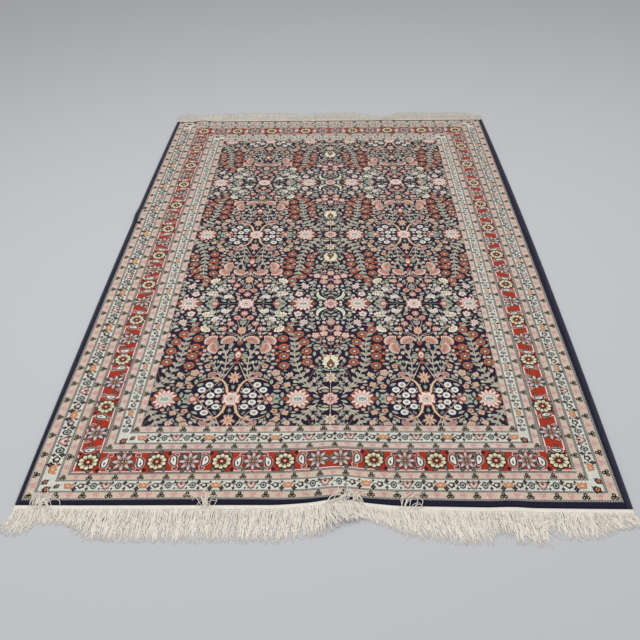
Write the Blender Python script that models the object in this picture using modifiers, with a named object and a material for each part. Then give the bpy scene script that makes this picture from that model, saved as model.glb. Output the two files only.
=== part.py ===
"""A hand-knotted wool rug lying on a floor, with overcast sides and a warp fringe at both ends.

The knotted body is one flat sheet with the low ripples that the real rug has. A wrapped navy
edge runs along each long side. Each short end is a flat woven cotton strip whose warp ends
hang out as strands and lie on the floor. X runs across the rug, Y along it, and Z is up.
"""

import math
import random
from collections import namedtuple

import bmesh
import bpy
from mathutils import Vector

# Sizes of the lying rug, in metres
WIDTH = 1.70
LENGTH = 2.515
BODY_THICKNESS = 0.007
BINDING_WIDTH = 0.013
BINDING_HEIGHT = 0.0078
STRIP_WIDTH = 0.017
STRIP_THICKNESS = 0.0025
STRAND_WIDTH = 0.0056
STRAND_TIP_WIDTH = 0.0036
STRAND_TIP_THICKNESS = 0.0019
LONGEST_STRAND = 0.106
GAP = 0.0003

# How the outline leaves a true rectangle
BULGE_LEFT = 0.011
BULGE_RIGHT = 0.015
NEAR_EDGE_HOLLOW = 0.006
NEAR_EDGE_TUCK = 0.013
NEAR_EDGE_TUCK_X = 0.05
NEAR_EDGE_TUCK_REACH = 0.20
EDGE_WAVE_FADE = 0.45
PINCHED_BINDING = 0.62
PINCH_REACH = 0.55

# Meshing
GRID_STEP = 0.03
BINDING_STEP = 0.07
STRAND_STEPS = 3
CLUMP_SIZE = 3
CLUMP_PULL = 0.003
LENGTH_JITTER = 0.07
LEAN_JITTER = 0.02

HALF_WIDTH = WIDTH / 2
HALF_LENGTH = LENGTH / 2

# A soft ripple is a low ridge from its foot to its end, highest at the foot
Ripple = namedtuple("Ripple", "foot end reach height")
RIPPLES = (
    Ripple(foot=(0.055, -1.29), end=(0.030, -0.86), reach=0.095, height=0.011),
    Ripple(foot=(-0.88, 0.27), end=(-0.50, 0.22), reach=0.075, height=0.007),
    Ripple(foot=(-0.70, 1.27), end=(-0.655, 1.04), reach=0.060, height=0.007),
    Ripple(foot=(0.33, 1.28), end=(0.31, 1.06), reach=0.080, height=0.004),
    Ripple(foot=(0.52, -1.27), end=(0.56, -1.08), reach=0.070, height=0.004),
)
FOOT_FADE = 0.10

# How the strands lie: where they leave the strip, their length and their lean to the right
Lay = namedtuple("Lay", "x length lean")
NEAR_STRANDS = 140
NEAR_LAY = (
    Lay(-0.850, 0.078, -0.55),
    Lay(-0.800, 0.086, -0.15),
    Lay(-0.772, 0.044, 0.30),
    Lay(-0.740, 0.046, 0.10),
    Lay(-0.690, 0.050, 0.00),
    Lay(-0.662, 0.056, -0.18),
    Lay(-0.635, 0.094, -0.15),
    Lay(-0.500, 0.101, -0.04),
    Lay(-0.300, 0.100, -0.10),
    Lay(-0.100, 0.104, -0.10),
    Lay(0.000, 0.092, 0.10),
    Lay(0.040, 0.062, 0.50),
    Lay(0.100, 0.048, 0.64),
    Lay(0.165, 0.058, 0.56),
    Lay(0.225, 0.088, 0.44),
    Lay(0.300, 0.100, 0.34),
    Lay(0.440, 0.100, 0.26),
    Lay(0.475, 0.062, 0.16),
    Lay(0.520, 0.101, 0.08),
    Lay(0.598, 0.100, 0.02),
    Lay(0.618, 0.042, 0.06),
    Lay(0.645, 0.084, 0.10),
    Lay(0.720, 0.078, 0.12),
    Lay(0.790, 0.054, 0.42),
    Lay(0.850, 0.052, 0.85),
)
FAR_STRANDS = 112
FAR_LAY = (
    Lay(-0.850, 0.060, -0.45),
    Lay(-0.780, 0.102, -0.10),
    Lay(-0.700, 0.060, 0.00),
    Lay(-0.660, 0.096, -0.05),
    Lay(-0.430, 0.106, 0.08),
    Lay(-0.200, 0.100, 0.10),
    Lay(-0.140, 0.046, 0.05),
    Lay(-0.090, 0.098, -0.05),
    Lay(0.125, 0.106, 0.05),
    Lay(0.255, 0.062, 0.12),
    Lay(0.340, 0.050, 0.10),
    Lay(0.390, 0.098, 0.02),
    Lay(0.620, 0.094, 0.06),
    Lay(0.785, 0.088, 0.10),
    Lay(0.850, 0.050, 0.35),
)


def bump(distance, reach):
    """A smooth hump that is 1 at no distance and ends at its reach."""
    if abs(distance) >= reach:
        return 0.0
    return math.cos(math.pi / 2 * distance / reach) ** 2


def between(low, high, t):
    return low + (high - low) * t


def ripple_height(x, y):
    """How far the sheet stands off the floor at a point."""
    height = 0.0
    for ripple in RIPPLES:
        foot = Vector(ripple.foot)
        ridge = Vector(ripple.end) - foot
        offset = Vector((x, y)) - foot
        along = offset.dot(ridge) / ridge.length
        across = offset.cross(ridge) / ridge.length
        if along >= 0:
            fade = bump(along, ridge.length)
        else:
            fade = bump(along, FOOT_FADE)
        height += ripple.height * fade * bump(across, ripple.reach)
    return height


def bulge(side, y):
    """How far the long sides bow outwards."""
    widest = BULGE_RIGHT if side > 0 else BULGE_LEFT
    return widest * max(0.0, 1 - (y / HALF_LENGTH) ** 2)


def binding_scale(side, y):
    """The left binding is pinched towards the near corner."""
    if side > 0:
        return 1.0
    return between(1.0, PINCHED_BINDING, bump(y + HALF_LENGTH * 0.88, PINCH_REACH))


def near_edge(x):
    """The near end of the knotted body."""
    hollow = NEAR_EDGE_HOLLOW * bump(x, HALF_WIDTH)
    tuck = NEAR_EDGE_TUCK * bump(x - NEAR_EDGE_TUCK_X, NEAR_EDGE_TUCK_REACH)
    return -HALF_LENGTH + hollow + tuck


def far_edge(x):
    return HALF_LENGTH


def outer_edge(side, y):
    """The outside of the binding."""
    return side * (HALF_WIDTH + bulge(side, y))


def body_edge(side, y):
    """Where the knotted body ends, a gap short of the binding."""
    binding = BINDING_WIDTH * binding_scale(side, y) + GAP
    return outer_edge(side, y) - side * binding


def body_point(across, along):
    """The floor point of the body for across and along from -1 to 1."""
    y = along * HALF_LENGTH
    left = body_edge(-1, y)
    right = body_edge(1, y)
    x = between(left, right, (across + 1) / 2)
    fade = max(0.0, 1 - (y + HALF_LENGTH) / EDGE_WAVE_FADE) ** 2
    y += (near_edge(x) + HALF_LENGTH) * fade
    return Vector((x, y, ripple_height(x, y)))


def wool_material(name, color, roughness):
    material = bpy.data.materials.new(name)
    material.use_nodes = True
    shader = material.node_tree.nodes["Principled BSDF"]
    shader.inputs["Base Color"].default_value = (*color, 1)
    shader.inputs["Roughness"].default_value = roughness
    shader.inputs["Metallic"].default_value = 0
    material.diffuse_color = (*color, 1)
    return material


def add_object(name, data, material, collection):
    rug_piece = bpy.data.objects.new(name, data)
    data.materials.append(material)
    collection.objects.link(rug_piece)
    return rug_piece


def mesh_from(bm, name):
    mesh = bpy.data.meshes.new(name)
    bm.to_mesh(mesh)
    bm.free()
    return mesh


def knotted_body(collection, material):
    """One sheet, moved onto the outline and the ripples, then given its thickness upwards."""
    columns = round(WIDTH / GRID_STEP)
    rows = round(LENGTH / GRID_STEP)
    bm = bmesh.new()
    bmesh.ops.create_grid(bm, x_segments=columns, y_segments=rows, size=1)
    for vert in bm.verts:
        vert.co = body_point(vert.co.x, vert.co.y)
    body = add_object("rug", mesh_from(bm, "rug"), material, collection)
    solidify = body.modifiers.new("pile and foundation", "SOLIDIFY")
    solidify.thickness = BODY_THICKNESS
    solidify.offset = 1
    return body


def binding_section():
    """The wrapped edge in section: a flat oval, flat where it rests. It guides the bindings."""
    half_width = BINDING_WIDTH / 2
    height = BINDING_HEIGHT
    outline = (
        (-half_width * 0.55, 0),
        (half_width * 0.55, 0),
        (half_width, height * 0.34),
        (half_width * 0.92, height * 0.72),
        (half_width * 0.42, height),
        (-half_width * 0.42, height),
        (-half_width * 0.92, height * 0.72),
        (-half_width, height * 0.34),
    )
    curve = bpy.data.curves.new("binding section", "CURVE")
    curve.dimensions = "2D"
    spline = curve.splines.new("POLY")
    spline.points.add(len(outline) - 1)
    for point, (x, y) in zip(spline.points, reversed(outline)):
        point.co = (x, y, 0, 1)
    spline.use_cyclic_u = True
    guide = bpy.data.objects.new("binding_section_guide", curve)
    guides = bpy.data.collections.new("guides")
    bpy.context.scene.collection.children.link(guides)
    guides.objects.link(guide)
    guide.hide_render = True
    guide.display_type = "WIRE"
    return guide


def side_binding(name, side, section, collection, material):
    """The section swept along one long side, over the same ripples as the body."""
    steps = round(LENGTH / BINDING_STEP)
    curve = bpy.data.curves.new(name, "CURVE")
    curve.dimensions = "3D"
    curve.twist_mode = "Z_UP"
    curve.bevel_mode = "OBJECT"
    curve.bevel_object = section
    curve.use_fill_caps = True
    spline = curve.splines.new("POLY")
    spline.points.add(steps)
    for step, point in enumerate(spline.points):
        y = between(-HALF_LENGTH, HALF_LENGTH, step / steps)
        scale = binding_scale(side, y)
        x = outer_edge(side, y) - side * BINDING_WIDTH * scale / 2
        point.co = (x, y, ripple_height(x, y), 1)
        point.radius = scale
    return add_object(name, curve, material, collection)


def read_lay(table, x):
    """Length and lean of the strand that leaves the strip at x."""
    for left, right in zip(table, table[1:]):
        if x <= right.x:
            t = max(0.0, (x - left.x) / (right.x - left.x))
            return between(left.length, right.length, t), between(left.lean, right.lean, t)
    return table[-1].length, table[-1].lean


class Strand:
    """One lock of warp ends: centre points, widths and thicknesses from root to tip."""

    def __init__(self, root_x, index, table, edge, outwards, chance):
        length, lean = read_lay(table, root_x)
        length *= 1 + chance.uniform(-LENGTH_JITTER, LENGTH_JITTER)
        length = min(length, LONGEST_STRAND)
        lean += chance.uniform(-LEAN_JITTER, LEAN_JITTER)
        in_clump = index % CLUMP_SIZE - (CLUMP_SIZE - 1) / 2
        lean -= in_clump * CLUMP_PULL / length
        self.rings = []
        x = root_x
        y = edge(root_x)
        for step in range(1, STRAND_STEPS + 1):
            t = step / STRAND_STEPS
            heading = lean * min(1.0, 0.35 + t)
            x += math.sin(heading) * length / STRAND_STEPS
            y += outwards * math.cos(heading) * length / STRAND_STEPS
            along = Vector((math.sin(heading), outwards * math.cos(heading), 0))
            width = between(STRAND_WIDTH, STRAND_TIP_WIDTH, t)
            thickness = between(STRIP_THICKNESS, STRAND_TIP_THICKNESS, t)
            self.rings.append((x, y, along, width, thickness))


def draw_out(bm, tip, strand, outwards):
    """Extrudes one face of the strip's edge along a strand."""
    for x, y, along, width, thickness in strand.rings:
        centre = tip.calc_center_median()
        tip = bmesh.ops.extrude_discrete_faces(bm, faces=[tip])["faces"][0]
        side = Vector((along.y, -along.x, 0)) * outwards
        foot = Vector((x, y, ripple_height(x, y)))
        for vert in tip.verts:
            right = 1 if vert.co.x > centre.x else -1
            top = 1 if vert.co.z > centre.z else 0
            vert.co = foot + side * (right * width / 2) + Vector((0, 0, top * thickness))


def fringe(name, table, count, edge, outwards, seed, collection, material):
    """A woven strip along one end with the strands drawn out of its outer edge, in one body."""
    chance = random.Random(seed)
    outer = outer_edge(1, HALF_LENGTH)
    pitch = 2 * outer / count
    roots = [-outer + pitch * (index + 0.5) for index in range(count)]
    cuts = [-outer]
    for root in roots:
        cuts += [root - STRAND_WIDTH / 2, root + STRAND_WIDTH / 2]
    cuts.append(outer)

    def strip_edge(x):
        return edge(x) + outwards * (GAP + STRIP_WIDTH)

    bm = bmesh.new()
    bmesh.ops.create_grid(bm, x_segments=len(cuts) - 1, y_segments=1, size=1)
    for vert in bm.verts:
        x = cuts[round((vert.co.x + 1) / 2 * (len(cuts) - 1))]
        y = edge(x) + outwards * GAP if vert.co.y * outwards < 0 else strip_edge(x)
        vert.co = (x, y, ripple_height(x, y))
    raised = bmesh.ops.extrude_face_region(bm, geom=bm.faces[:], use_keep_orig=True)
    for vert in raised["geom"]:
        if isinstance(vert, bmesh.types.BMVert):
            vert.co.z += STRIP_THICKNESS
    bmesh.ops.recalc_face_normals(bm, faces=bm.faces)

    def is_outer(face):
        upright = abs(face.normal.z) < 0.5
        return upright and all(abs(v.co.y - strip_edge(v.co.x)) < 1e-6 for v in face.verts)

    faces = sorted((f for f in bm.faces if is_outer(f)), key=lambda f: f.calc_center_median().x)
    tips = faces[1::2]
    strands = [
        Strand(root, index, table, strip_edge, outwards, chance)
        for index, root in enumerate(roots)
    ]
    for tip, strand in zip(tips, strands):
        draw_out(bm, tip, strand, outwards)
    bmesh.ops.recalc_face_normals(bm, faces=bm.faces)
    if bm.calc_volume(signed=True) < 0:
        bmesh.ops.reverse_faces(bm, faces=bm.faces)
    return add_object(name, mesh_from(bm, name), material, collection)


def centre_on_floor(collection):
    """Moves the whole rug so that the origin is under the middle of its box."""
    bpy.context.view_layer.update()
    graph = bpy.context.evaluated_depsgraph_get()
    points = []
    for piece in collection.objects:
        evaluated = piece.evaluated_get(graph)
        points += [vert.co.copy() for vert in evaluated.to_mesh().vertices]
        evaluated.to_mesh_clear()
    low = [min(point[axis] for point in points) for axis in range(3)]
    high = [max(point[axis] for point in points) for axis in range(3)]
    middle = Vector(((low[0] + high[0]) / 2, (low[1] + high[1]) / 2, low[2]))
    for piece in collection.objects:
        piece.location -= middle


def main():
    for old in list(bpy.data.objects):
        bpy.data.objects.remove(old, do_unlink=True)
    collection = bpy.data.collections.new("turkish rug")
    bpy.context.scene.collection.children.link(collection)
    pile = wool_material("wool pile", (0.22, 0.11, 0.09), 0.92)
    navy = wool_material("navy overcast wool", (0.018, 0.018, 0.035), 0.85)
    cotton = wool_material("undyed cotton warp", (0.72, 0.66, 0.56), 0.9)
    knotted_body(collection, pile)
    section = binding_section()
    side_binding("binding_left", -1, section, collection, navy)
    side_binding("binding_right", 1, section, collection, navy)
    fringe("fringe_near", NEAR_LAY, NEAR_STRANDS, near_edge, -1, 3, collection, cotton)
    fringe("fringe_far", FAR_LAY, FAR_STRANDS, far_edge, 1, 5, collection, cotton)
    centre_on_floor(collection)


main()
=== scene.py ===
import math
import random

import bpy
from bpy.props import FloatProperty, FloatVectorProperty
from mathutils import Matrix, Vector
from mathutils.geometry import delaunay_2d_cdt


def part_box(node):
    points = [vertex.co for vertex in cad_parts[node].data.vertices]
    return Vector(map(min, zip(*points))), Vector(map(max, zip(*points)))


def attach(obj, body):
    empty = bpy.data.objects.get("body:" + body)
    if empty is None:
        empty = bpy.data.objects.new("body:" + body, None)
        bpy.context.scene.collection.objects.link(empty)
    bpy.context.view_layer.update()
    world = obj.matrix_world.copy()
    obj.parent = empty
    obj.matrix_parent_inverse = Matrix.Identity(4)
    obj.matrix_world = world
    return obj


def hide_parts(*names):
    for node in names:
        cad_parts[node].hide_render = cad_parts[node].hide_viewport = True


bl_info = {
    "name": "Turkish Rug",
    "version": (1, 0, 0),
    "blender": (4, 5, 0),
    "location": "View3D > Sidebar > Rug",
    "description": "A knotted wool rug with a flower field, seven borders and cotton fringes",
    "category": "Add Mesh",
}

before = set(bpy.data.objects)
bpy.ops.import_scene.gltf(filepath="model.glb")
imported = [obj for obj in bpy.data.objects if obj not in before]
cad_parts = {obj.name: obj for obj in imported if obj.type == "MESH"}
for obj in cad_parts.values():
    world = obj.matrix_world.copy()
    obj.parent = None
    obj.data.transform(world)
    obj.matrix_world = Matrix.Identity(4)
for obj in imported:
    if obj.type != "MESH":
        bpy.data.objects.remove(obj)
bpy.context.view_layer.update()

MM = 0.001
DEG = math.pi / 180

# The solids' measures in metres, repeated so that every piece lies where its solid is.
WIDTH = 1.70
LENGTH = 2.515
HALF_WIDTH = WIDTH / 2
HALF_LENGTH = LENGTH / 2
BINDING_WIDTH = 0.013
BINDING_HEIGHT = 0.0078
STRIP_WIDTH = 0.017
STRIP_THICKNESS = 0.0025
GAP = 0.0003
BULGE_LEFT = 0.011
BULGE_RIGHT = 0.015
NEAR_EDGE_HOLLOW = 0.006
NEAR_EDGE_TUCK = 0.013
NEAR_EDGE_TUCK_X = 0.05
NEAR_EDGE_TUCK_REACH = 0.20
EDGE_WAVE_FADE = 0.45
PINCHED_BINDING = 0.62
PINCH_REACH = 0.55
FOOT_FADE = 0.10

# Soft ripples of the rug on the floor: foot x, foot y, end x, end y, reach to each side, height.
RIPPLES = (
    (0.055, -1.29, 0.030, -0.86, 0.095, 0.011),
    (-0.88, 0.27, -0.50, 0.22, 0.075, 0.007),
    (-0.70, 1.27, -0.655, 1.04, 0.060, 0.007),
    (0.33, 1.28, 0.31, 1.06, 0.080, 0.004),
    (0.52, -1.27, 0.56, -1.08, 0.070, 0.004),
)

# How the fringes lie: x of the root, length, lean to the right in radians.
NEAR_LAY = (
    (-0.850, 0.078, -0.55), (-0.800, 0.086, -0.15), (-0.772, 0.044, 0.30), (-0.740, 0.046, 0.10),
    (-0.690, 0.050, 0.0), (-0.662, 0.056, -0.18), (-0.635, 0.094, -0.15), (-0.500, 0.101, -0.04),
    (-0.300, 0.100, -0.10), (-0.100, 0.104, -0.10), (0.0, 0.092, 0.10), (0.040, 0.062, 0.50),
    (0.100, 0.048, 0.64), (0.165, 0.058, 0.56), (0.225, 0.088, 0.44), (0.300, 0.100, 0.34),
    (0.440, 0.100, 0.26), (0.475, 0.062, 0.16), (0.520, 0.101, 0.08), (0.598, 0.100, 0.02),
    (0.618, 0.042, 0.06), (0.645, 0.084, 0.10), (0.720, 0.078, 0.12), (0.790, 0.054, 0.42),
    (0.850, 0.052, 0.85),
)
FAR_LAY = (
    (-0.850, 0.060, -0.45), (-0.780, 0.102, -0.10), (-0.700, 0.060, 0.0), (-0.660, 0.096, -0.05),
    (-0.430, 0.106, 0.08), (-0.200, 0.100, 0.10), (-0.140, 0.046, 0.05), (-0.090, 0.098, -0.05),
    (0.125, 0.106, 0.05), (0.255, 0.062, 0.12), (0.340, 0.050, 0.10), (0.390, 0.098, 0.02),
    (0.620, 0.094, 0.06), (0.785, 0.088, 0.10), (0.850, 0.050, 0.35),
)

# Dyed yarns of the pile: key, name, where it stands in the design, sRGB value.
YARNS = (
    ("navy", "Navy", "Ground of the flower field and the outer edge", "#1F1D32"),
    ("ink", "Ink", "Outlines in the borders", "#242228"),
    ("red", "Madder red", "Ground of the main border", "#A43520"),
    ("deepred", "Deep red", "Petal tips and hearts of the field", "#A23A26"),
    ("rust", "Rust", "Disc flowers and outlines of the field", "#A64D37"),
    ("orange", "Orange", "Tulips of the guard borders", "#D68A60"),
    ("brown", "Brown", "Palmette sides, stems and outlines", "#85553C"),
    ("peach", "Peach", "Small flowers", "#D0B3A0"),
    ("tan", "Tan", "Stems and the edges of leaves", "#C4AB99"),
    ("straw", "Straw", "Hearts and curved leaves", "#D3BF98"),
    ("pink", "Pink", "Rosettes of the field", "#C9A89E"),
    ("palepink", "Pale pink", "Light blossoms", "#DEC2B6"),
    ("rose", "Rose", "Outlines of the pink flowers", "#9A5A54"),
    ("cream", "Cream", "Palmettes and fans", "#DFD9BD"),
    ("ivory", "Ivory", "Petals of the border rosettes", "#D8D0AC"),
    ("white", "White", "Daisies, rings and paisleys", "#DBD8D1"),
    ("sage", "Sage", "Leaves", "#92A394"),
    ("forest", "Forest green", "Dark leaves and calyxes", "#5C7266"),
    ("slate", "Slate", "Cool outlines and hearts", "#78817F"),
    ("club", "Dark green", "Clubs of the narrow stripes", "#1C231E"),
    ("heart", "Garnet", "Hearts of the border rosettes", "#6A241F"),
    ("coral", "Coral", "Small trefoils of the narrow stripes", "#C58F87"),
    ("beige", "Beige", "Carnation fans", "#CDAA94"),
    ("lavender", "Lavender grey", "Stars of the main border", "#A79E9F"),
    ("guard", "Guard ground", "Ground of the guard borders", "#CFCFC5"),
    ("greige", "Grey beige", "Ground of the narrow stripes", "#C8B7AB"),
    ("linen", "Linen grey", "Lines between the borders", "#8D8B83"),
    ("block", "Peach bow", "Bows of the narrow stripes", "#D3B496"),
    ("paleblock", "Pale bow", "Bows of the inner narrow stripes", "#D3BCAE"),
    ("bead", "Beaded line", "Thin lines of single knots", "#3A3B40"),
)


# Laying the rug


def between(low, high, t):
    """The value at a share of the way from one to the other."""
    return low + (high - low) * t


def bump(distance, reach):
    """1 at the middle, easing to 0 at the reach."""
    if abs(distance) >= reach:
        return 0.0
    return math.cos(math.pi / 2 * distance / reach) ** 2


def ripple_height(x, y):
    """Height of the underside above the floor."""
    height = 0.0
    for foot_x, foot_y, end_x, end_y, reach, top in RIPPLES:
        ridge = Vector((end_x - foot_x, end_y - foot_y))
        offset = Vector((x - foot_x, y - foot_y))
        along = offset.dot(ridge) / ridge.length
        across = offset.cross(ridge) / ridge.length
        fade = bump(along, ridge.length) if along >= 0 else bump(along, FOOT_FADE)
        height += top * fade * bump(across, reach)
    return height


def outer_edge(side, y):
    """x of the overcast side, which bulges a little at mid length."""
    widest = BULGE_LEFT if side < 0 else BULGE_RIGHT
    return side * (HALF_WIDTH + widest * max(0.0, 1 - (y / HALF_LENGTH) ** 2))


def binding_scale(side, y):
    """The left overcast side is drawn thin near its near corner."""
    if side > 0:
        return 1.0
    return between(1.0, PINCHED_BINDING, bump(y + HALF_LENGTH * 0.88, PINCH_REACH))


def body_edge(side, y):
    """x of the side of the pile, inside the overcast edge."""
    return outer_edge(side, y) - side * (BINDING_WIDTH * binding_scale(side, y) + GAP)


def near_edge(x):
    """y of the near end of the pile, hollow at its middle and tucked in beside it."""
    hollow = NEAR_EDGE_HOLLOW * bump(x, HALF_WIDTH)
    return -HALF_LENGTH + hollow + NEAR_EDGE_TUCK * bump(x - NEAR_EDGE_TUCK_X, NEAR_EDGE_TUCK_REACH)


def body_point(across, along, height):
    """A point of the cloth from -1..1 across and along it."""
    y = along * HALF_LENGTH
    x = between(body_edge(-1, y), body_edge(1, y), (across + 1) / 2)
    fade = max(0.0, 1 - (y + HALF_LENGTH) / EDGE_WAVE_FADE) ** 2
    y += (near_edge(x) + HALF_LENGTH) * fade
    return Vector((x, y, ripple_height(x, y) + height)) + SHIFT


def frame_shift():
    """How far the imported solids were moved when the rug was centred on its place."""
    steps = [k / 60 for k in range(-60, 61)]
    xs = [body_edge(side, y * HALF_LENGTH) for side in (-1, 1) for y in steps]
    ys = [near_edge(x * HALF_WIDTH) for x in steps]
    low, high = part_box("rug")
    x = (low[0] + high[0] - min(xs) - max(xs)) / 2
    y = (low[1] + high[1] - min(ys) - HALF_LENGTH) / 2
    return Vector((x, y, 0))


SHIFT = frame_shift()


# Shapes. Each one is a list of (x, y) points in millimetres, counter-clockwise.


def turned(shape, angle):
    """The shape turned about the origin by radians."""
    c, s = math.cos(angle), math.sin(angle)
    return [(x * c - y * s, x * s + y * c) for x, y in shape]


def moved(shape, x, y):
    """The shape shifted by x and y."""
    return [(px + x, py + y) for px, py in shape]


def stretched(shape, sx, sy):
    """The shape scaled along x and y."""
    return [(x * sx, y * sy) for x, y in shape]


def outset(shape, margin):
    """The shape grown by a margin along its own normals."""
    grown = []
    for index, (x, y) in enumerate(shape):
        ax, ay = shape[index - 1]
        bx, by = shape[(index + 1) % len(shape)]
        size = math.hypot(bx - ax, by - ay) or 1.0
        grown.append((x + (by - ay) / size * margin, y - (bx - ax) / size * margin))
    return grown


def box_shape(x0, y0, x1, y1):
    """The corners of an upright box."""
    return [(x0, y0), (x1, y0), (x1, y1), (x0, y1)]


def oval(rx, ry, points=8):
    """An oval round the origin."""
    angles = [math.tau * k / points for k in range(points)]
    return [(rx * math.cos(angle), ry * math.sin(angle)) for angle in angles]


def scallop(radius, lobes, depth, per_lobe=4, squash=1.0, phase=0.0):
    """A round outline of rounded lobes."""
    points = []
    for k in range(lobes * per_lobe):
        angle = math.tau * k / (lobes * per_lobe)
        r = radius * (1 - depth + depth * abs(math.cos(lobes * angle / 2)) ** 0.7)
        points.append((r * math.cos(angle + phase), r * math.sin(angle + phase) * squash))
    return points


def star(radius, tips, inner, squash=1.0, phase=0.0):
    """A flat star, the radius of its inner corners given as a share."""
    points = []
    for k in range(tips * 2):
        r = radius * inner if k % 2 else radius
        angle = math.pi * k / tips + phase
        points.append((r * math.cos(angle), r * math.sin(angle) * squash))
    return points


SICKLE_STEPS = 7


def sweep(length, width_at, bend_at, steps):
    """A blade from the origin, its half width and heading given along its length."""
    left, right = [], []
    x = y = 0.0
    for k in range(steps + 1):
        t = k / steps
        heading = bend_at(t)
        half = width_at(t)
        left.append((x - math.sin(heading) * half, y + math.cos(heading) * half))
        right.append((x + math.sin(heading) * half, y - math.cos(heading) * half))
        x += math.cos(heading) * length / steps
        y += math.sin(heading) * length / steps
    return right[:1] + right[1:-1] + left[-1:] + left[-2:0:-1]


def leaf(length, width, bend=0.0, steps=3):
    """A pointed leaf from the origin along +X, bent to the left by an angle."""
    return sweep(
        length,
        lambda t: width / 2 * abs(math.sin(math.pi * t)) ** 0.85,
        lambda t: bend * (t - 0.35),
        steps,
    )


def sickle(length, width, bend):
    """A long blade that curves round and narrows to its tip."""
    return sweep(
        length,
        lambda t: width / 2 * abs(math.sin(math.pi * t)) ** 0.6 * (1 - 0.45 * t),
        lambda t: bend * t,
        SICKLE_STEPS,
    )


def petal(length, width, blunt=0.65, steps=2):
    """A rounded petal from the origin along +X, widest near its end."""
    right, left = [], []
    for k in range(1, steps + 1):
        t = k / steps
        half = width / 2 * math.sin(math.pi * t * (blunt + 0.06)) if k < steps else width * 0.22
        right.append((length * t, -half))
        left.append((length * t, half))
    return [(0, 0)] + right + left[::-1]


def drop(length, width, steps=6):
    """A round-ended drop, its point at the origin, along +X."""
    points = [(0, 0)]
    for k in range(steps + 1):
        angle = between(-math.pi * 0.62, math.pi * 0.62, k / steps)
        x = length - width / 2 + width / 2 * math.cos(angle)
        points.append((x, width / 2 * math.sin(angle)))
    return points


def smooth_path(route, steps):
    """A smooth curve through the points of a route."""
    path = []
    ends = [route[0], *route, route[-1]]
    for a, b, c, d in zip(ends, ends[1:], ends[2:], ends[3:]):
        for k in range(steps):
            t = k / steps
            path.append(tuple(
                0.5 * (
                    2 * q + (r - p) * t + (2 * p - 5 * q + 4 * r - s) * t * t
                    + (3 * q - p - 3 * r + s) * t ** 3
                )
                for p, q, r, s in zip(a, b, c, d)
            ))
    return path + [route[-1]]


def ribbon(route, width, steps=4, taper=0.6):
    """A stem of a given width along a smooth route."""
    path = smooth_path(route, steps)
    left, right = [], []
    for k, (x, y) in enumerate(path):
        ax, ay = path[max(0, k - 1)]
        bx, by = path[min(len(path) - 1, k + 1)]
        size = math.hypot(bx - ax, by - ay) or 1.0
        half = width / 2 * between(1, taper, k / (len(path) - 1)) / size
        left.append((x - (by - ay) * half, y + (bx - ax) * half))
        right.append((x + (by - ay) * half, y - (bx - ax) * half))
    return right + left[::-1]


# Motifs. Each one is a list of (dye, shape) layers, the bottom one first.


def placed(layers, x, y, turn=0.0):
    """A motif turned by degrees and moved to its place."""
    return [(dye, moved(turned(shape, turn * DEG), x, y)) for dye, shape in layers]


def nested(outline, *steps):
    """One outline drawn over and over, each time in another dye and at another scale."""
    return [(dye, stretched(outline, scale, scale)) for dye, scale in steps]


def ring_of(dye, shape, count, radius, phase=0.0, squash=1.0):
    """Copies of a shape around a circle, each pointing outwards."""
    spokes = [turned(moved(shape, radius, 0), math.tau * k / count + phase) for k in range(count)]
    return [(dye, stretched(spoke, 1, squash)) for spoke in spokes]


def tick(length, width):
    """A straight, four-sided leaf."""
    return leaf(length, width, 0, 2)


def disc_flower():
    """A round rust flower with a grey-blue heart."""
    radius, petals = 19, 10
    layers = [("brown", scallop(radius, petals, 0.12, 2))]
    layers += ring_of("rust", petal(radius * 0.56, radius * 0.45), petals, radius * 0.40)
    layers += ring_of("orange", tick(radius * 0.36, radius * 0.15), petals, radius * 0.52)
    heart = (("ink", 0.48), ("slate", 0.39), ("white", 0.21), ("ink", 0.09))
    return layers + nested(oval(radius, radius, 9), *heart)


def blossom(radius, petals, fill, edge, heart):
    """A small open blossom of a few round petals."""
    layers = nested(scallop(radius, petals, 0.30), (edge, 1.0), (fill, 0.82))
    layers += ring_of(edge, tick(radius * 0.26, radius * 0.11), petals, radius * 0.40)
    return layers + nested(oval(radius, radius, 7), (edge, 0.36), (heart, 0.24))


def daisy():
    """A white flower with a dark ring round its heart."""
    radius = 13
    layers = nested(scallop(radius, 8, 0.16, 3), ("white", 1.0))
    return layers + nested(oval(radius, radius, 8), ("ink", 0.40), ("sage", 0.27), ("straw", 0.14))


def star_flower(radius, squash, fill, edge, inner, heart):
    """An eight-pointed star with a smaller star inside it."""
    layers = nested(star(radius, 8, 0.50, squash), (edge, 1.06), (fill, 0.93))
    layers += ring_of(inner, tick(radius * 0.34, radius * 0.14), 8, radius * 0.46, 0.0, squash)
    layers += nested(star(radius, 8, 0.62, squash, math.pi / 8), (edge, 0.54), (inner, 0.46))
    return layers + nested(oval(radius, radius * squash), (heart, 0.22), (fill, 0.10))


def lobed_rosette(radius, lobes, fill, edge, ring, heart, eye, squash=1.0):
    """A rosette of round lobes, a petal on each, round a lobed ring and a heart."""
    layers = nested(scallop(radius, lobes, 0.26, squash=squash), (edge, 1.0), (fill, 0.90))
    layers += ring_of(edge, petal(radius * 0.24, radius * 0.15), lobes, radius * 0.52, 0.0, squash)
    layers += nested(scallop(radius, lobes, 0.2, 2, squash), (edge, 0.52), (ring, 0.45))
    return layers + nested(oval(radius, radius * squash), (edge, 0.30), (heart, 0.23), (eye, 0.10))


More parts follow.
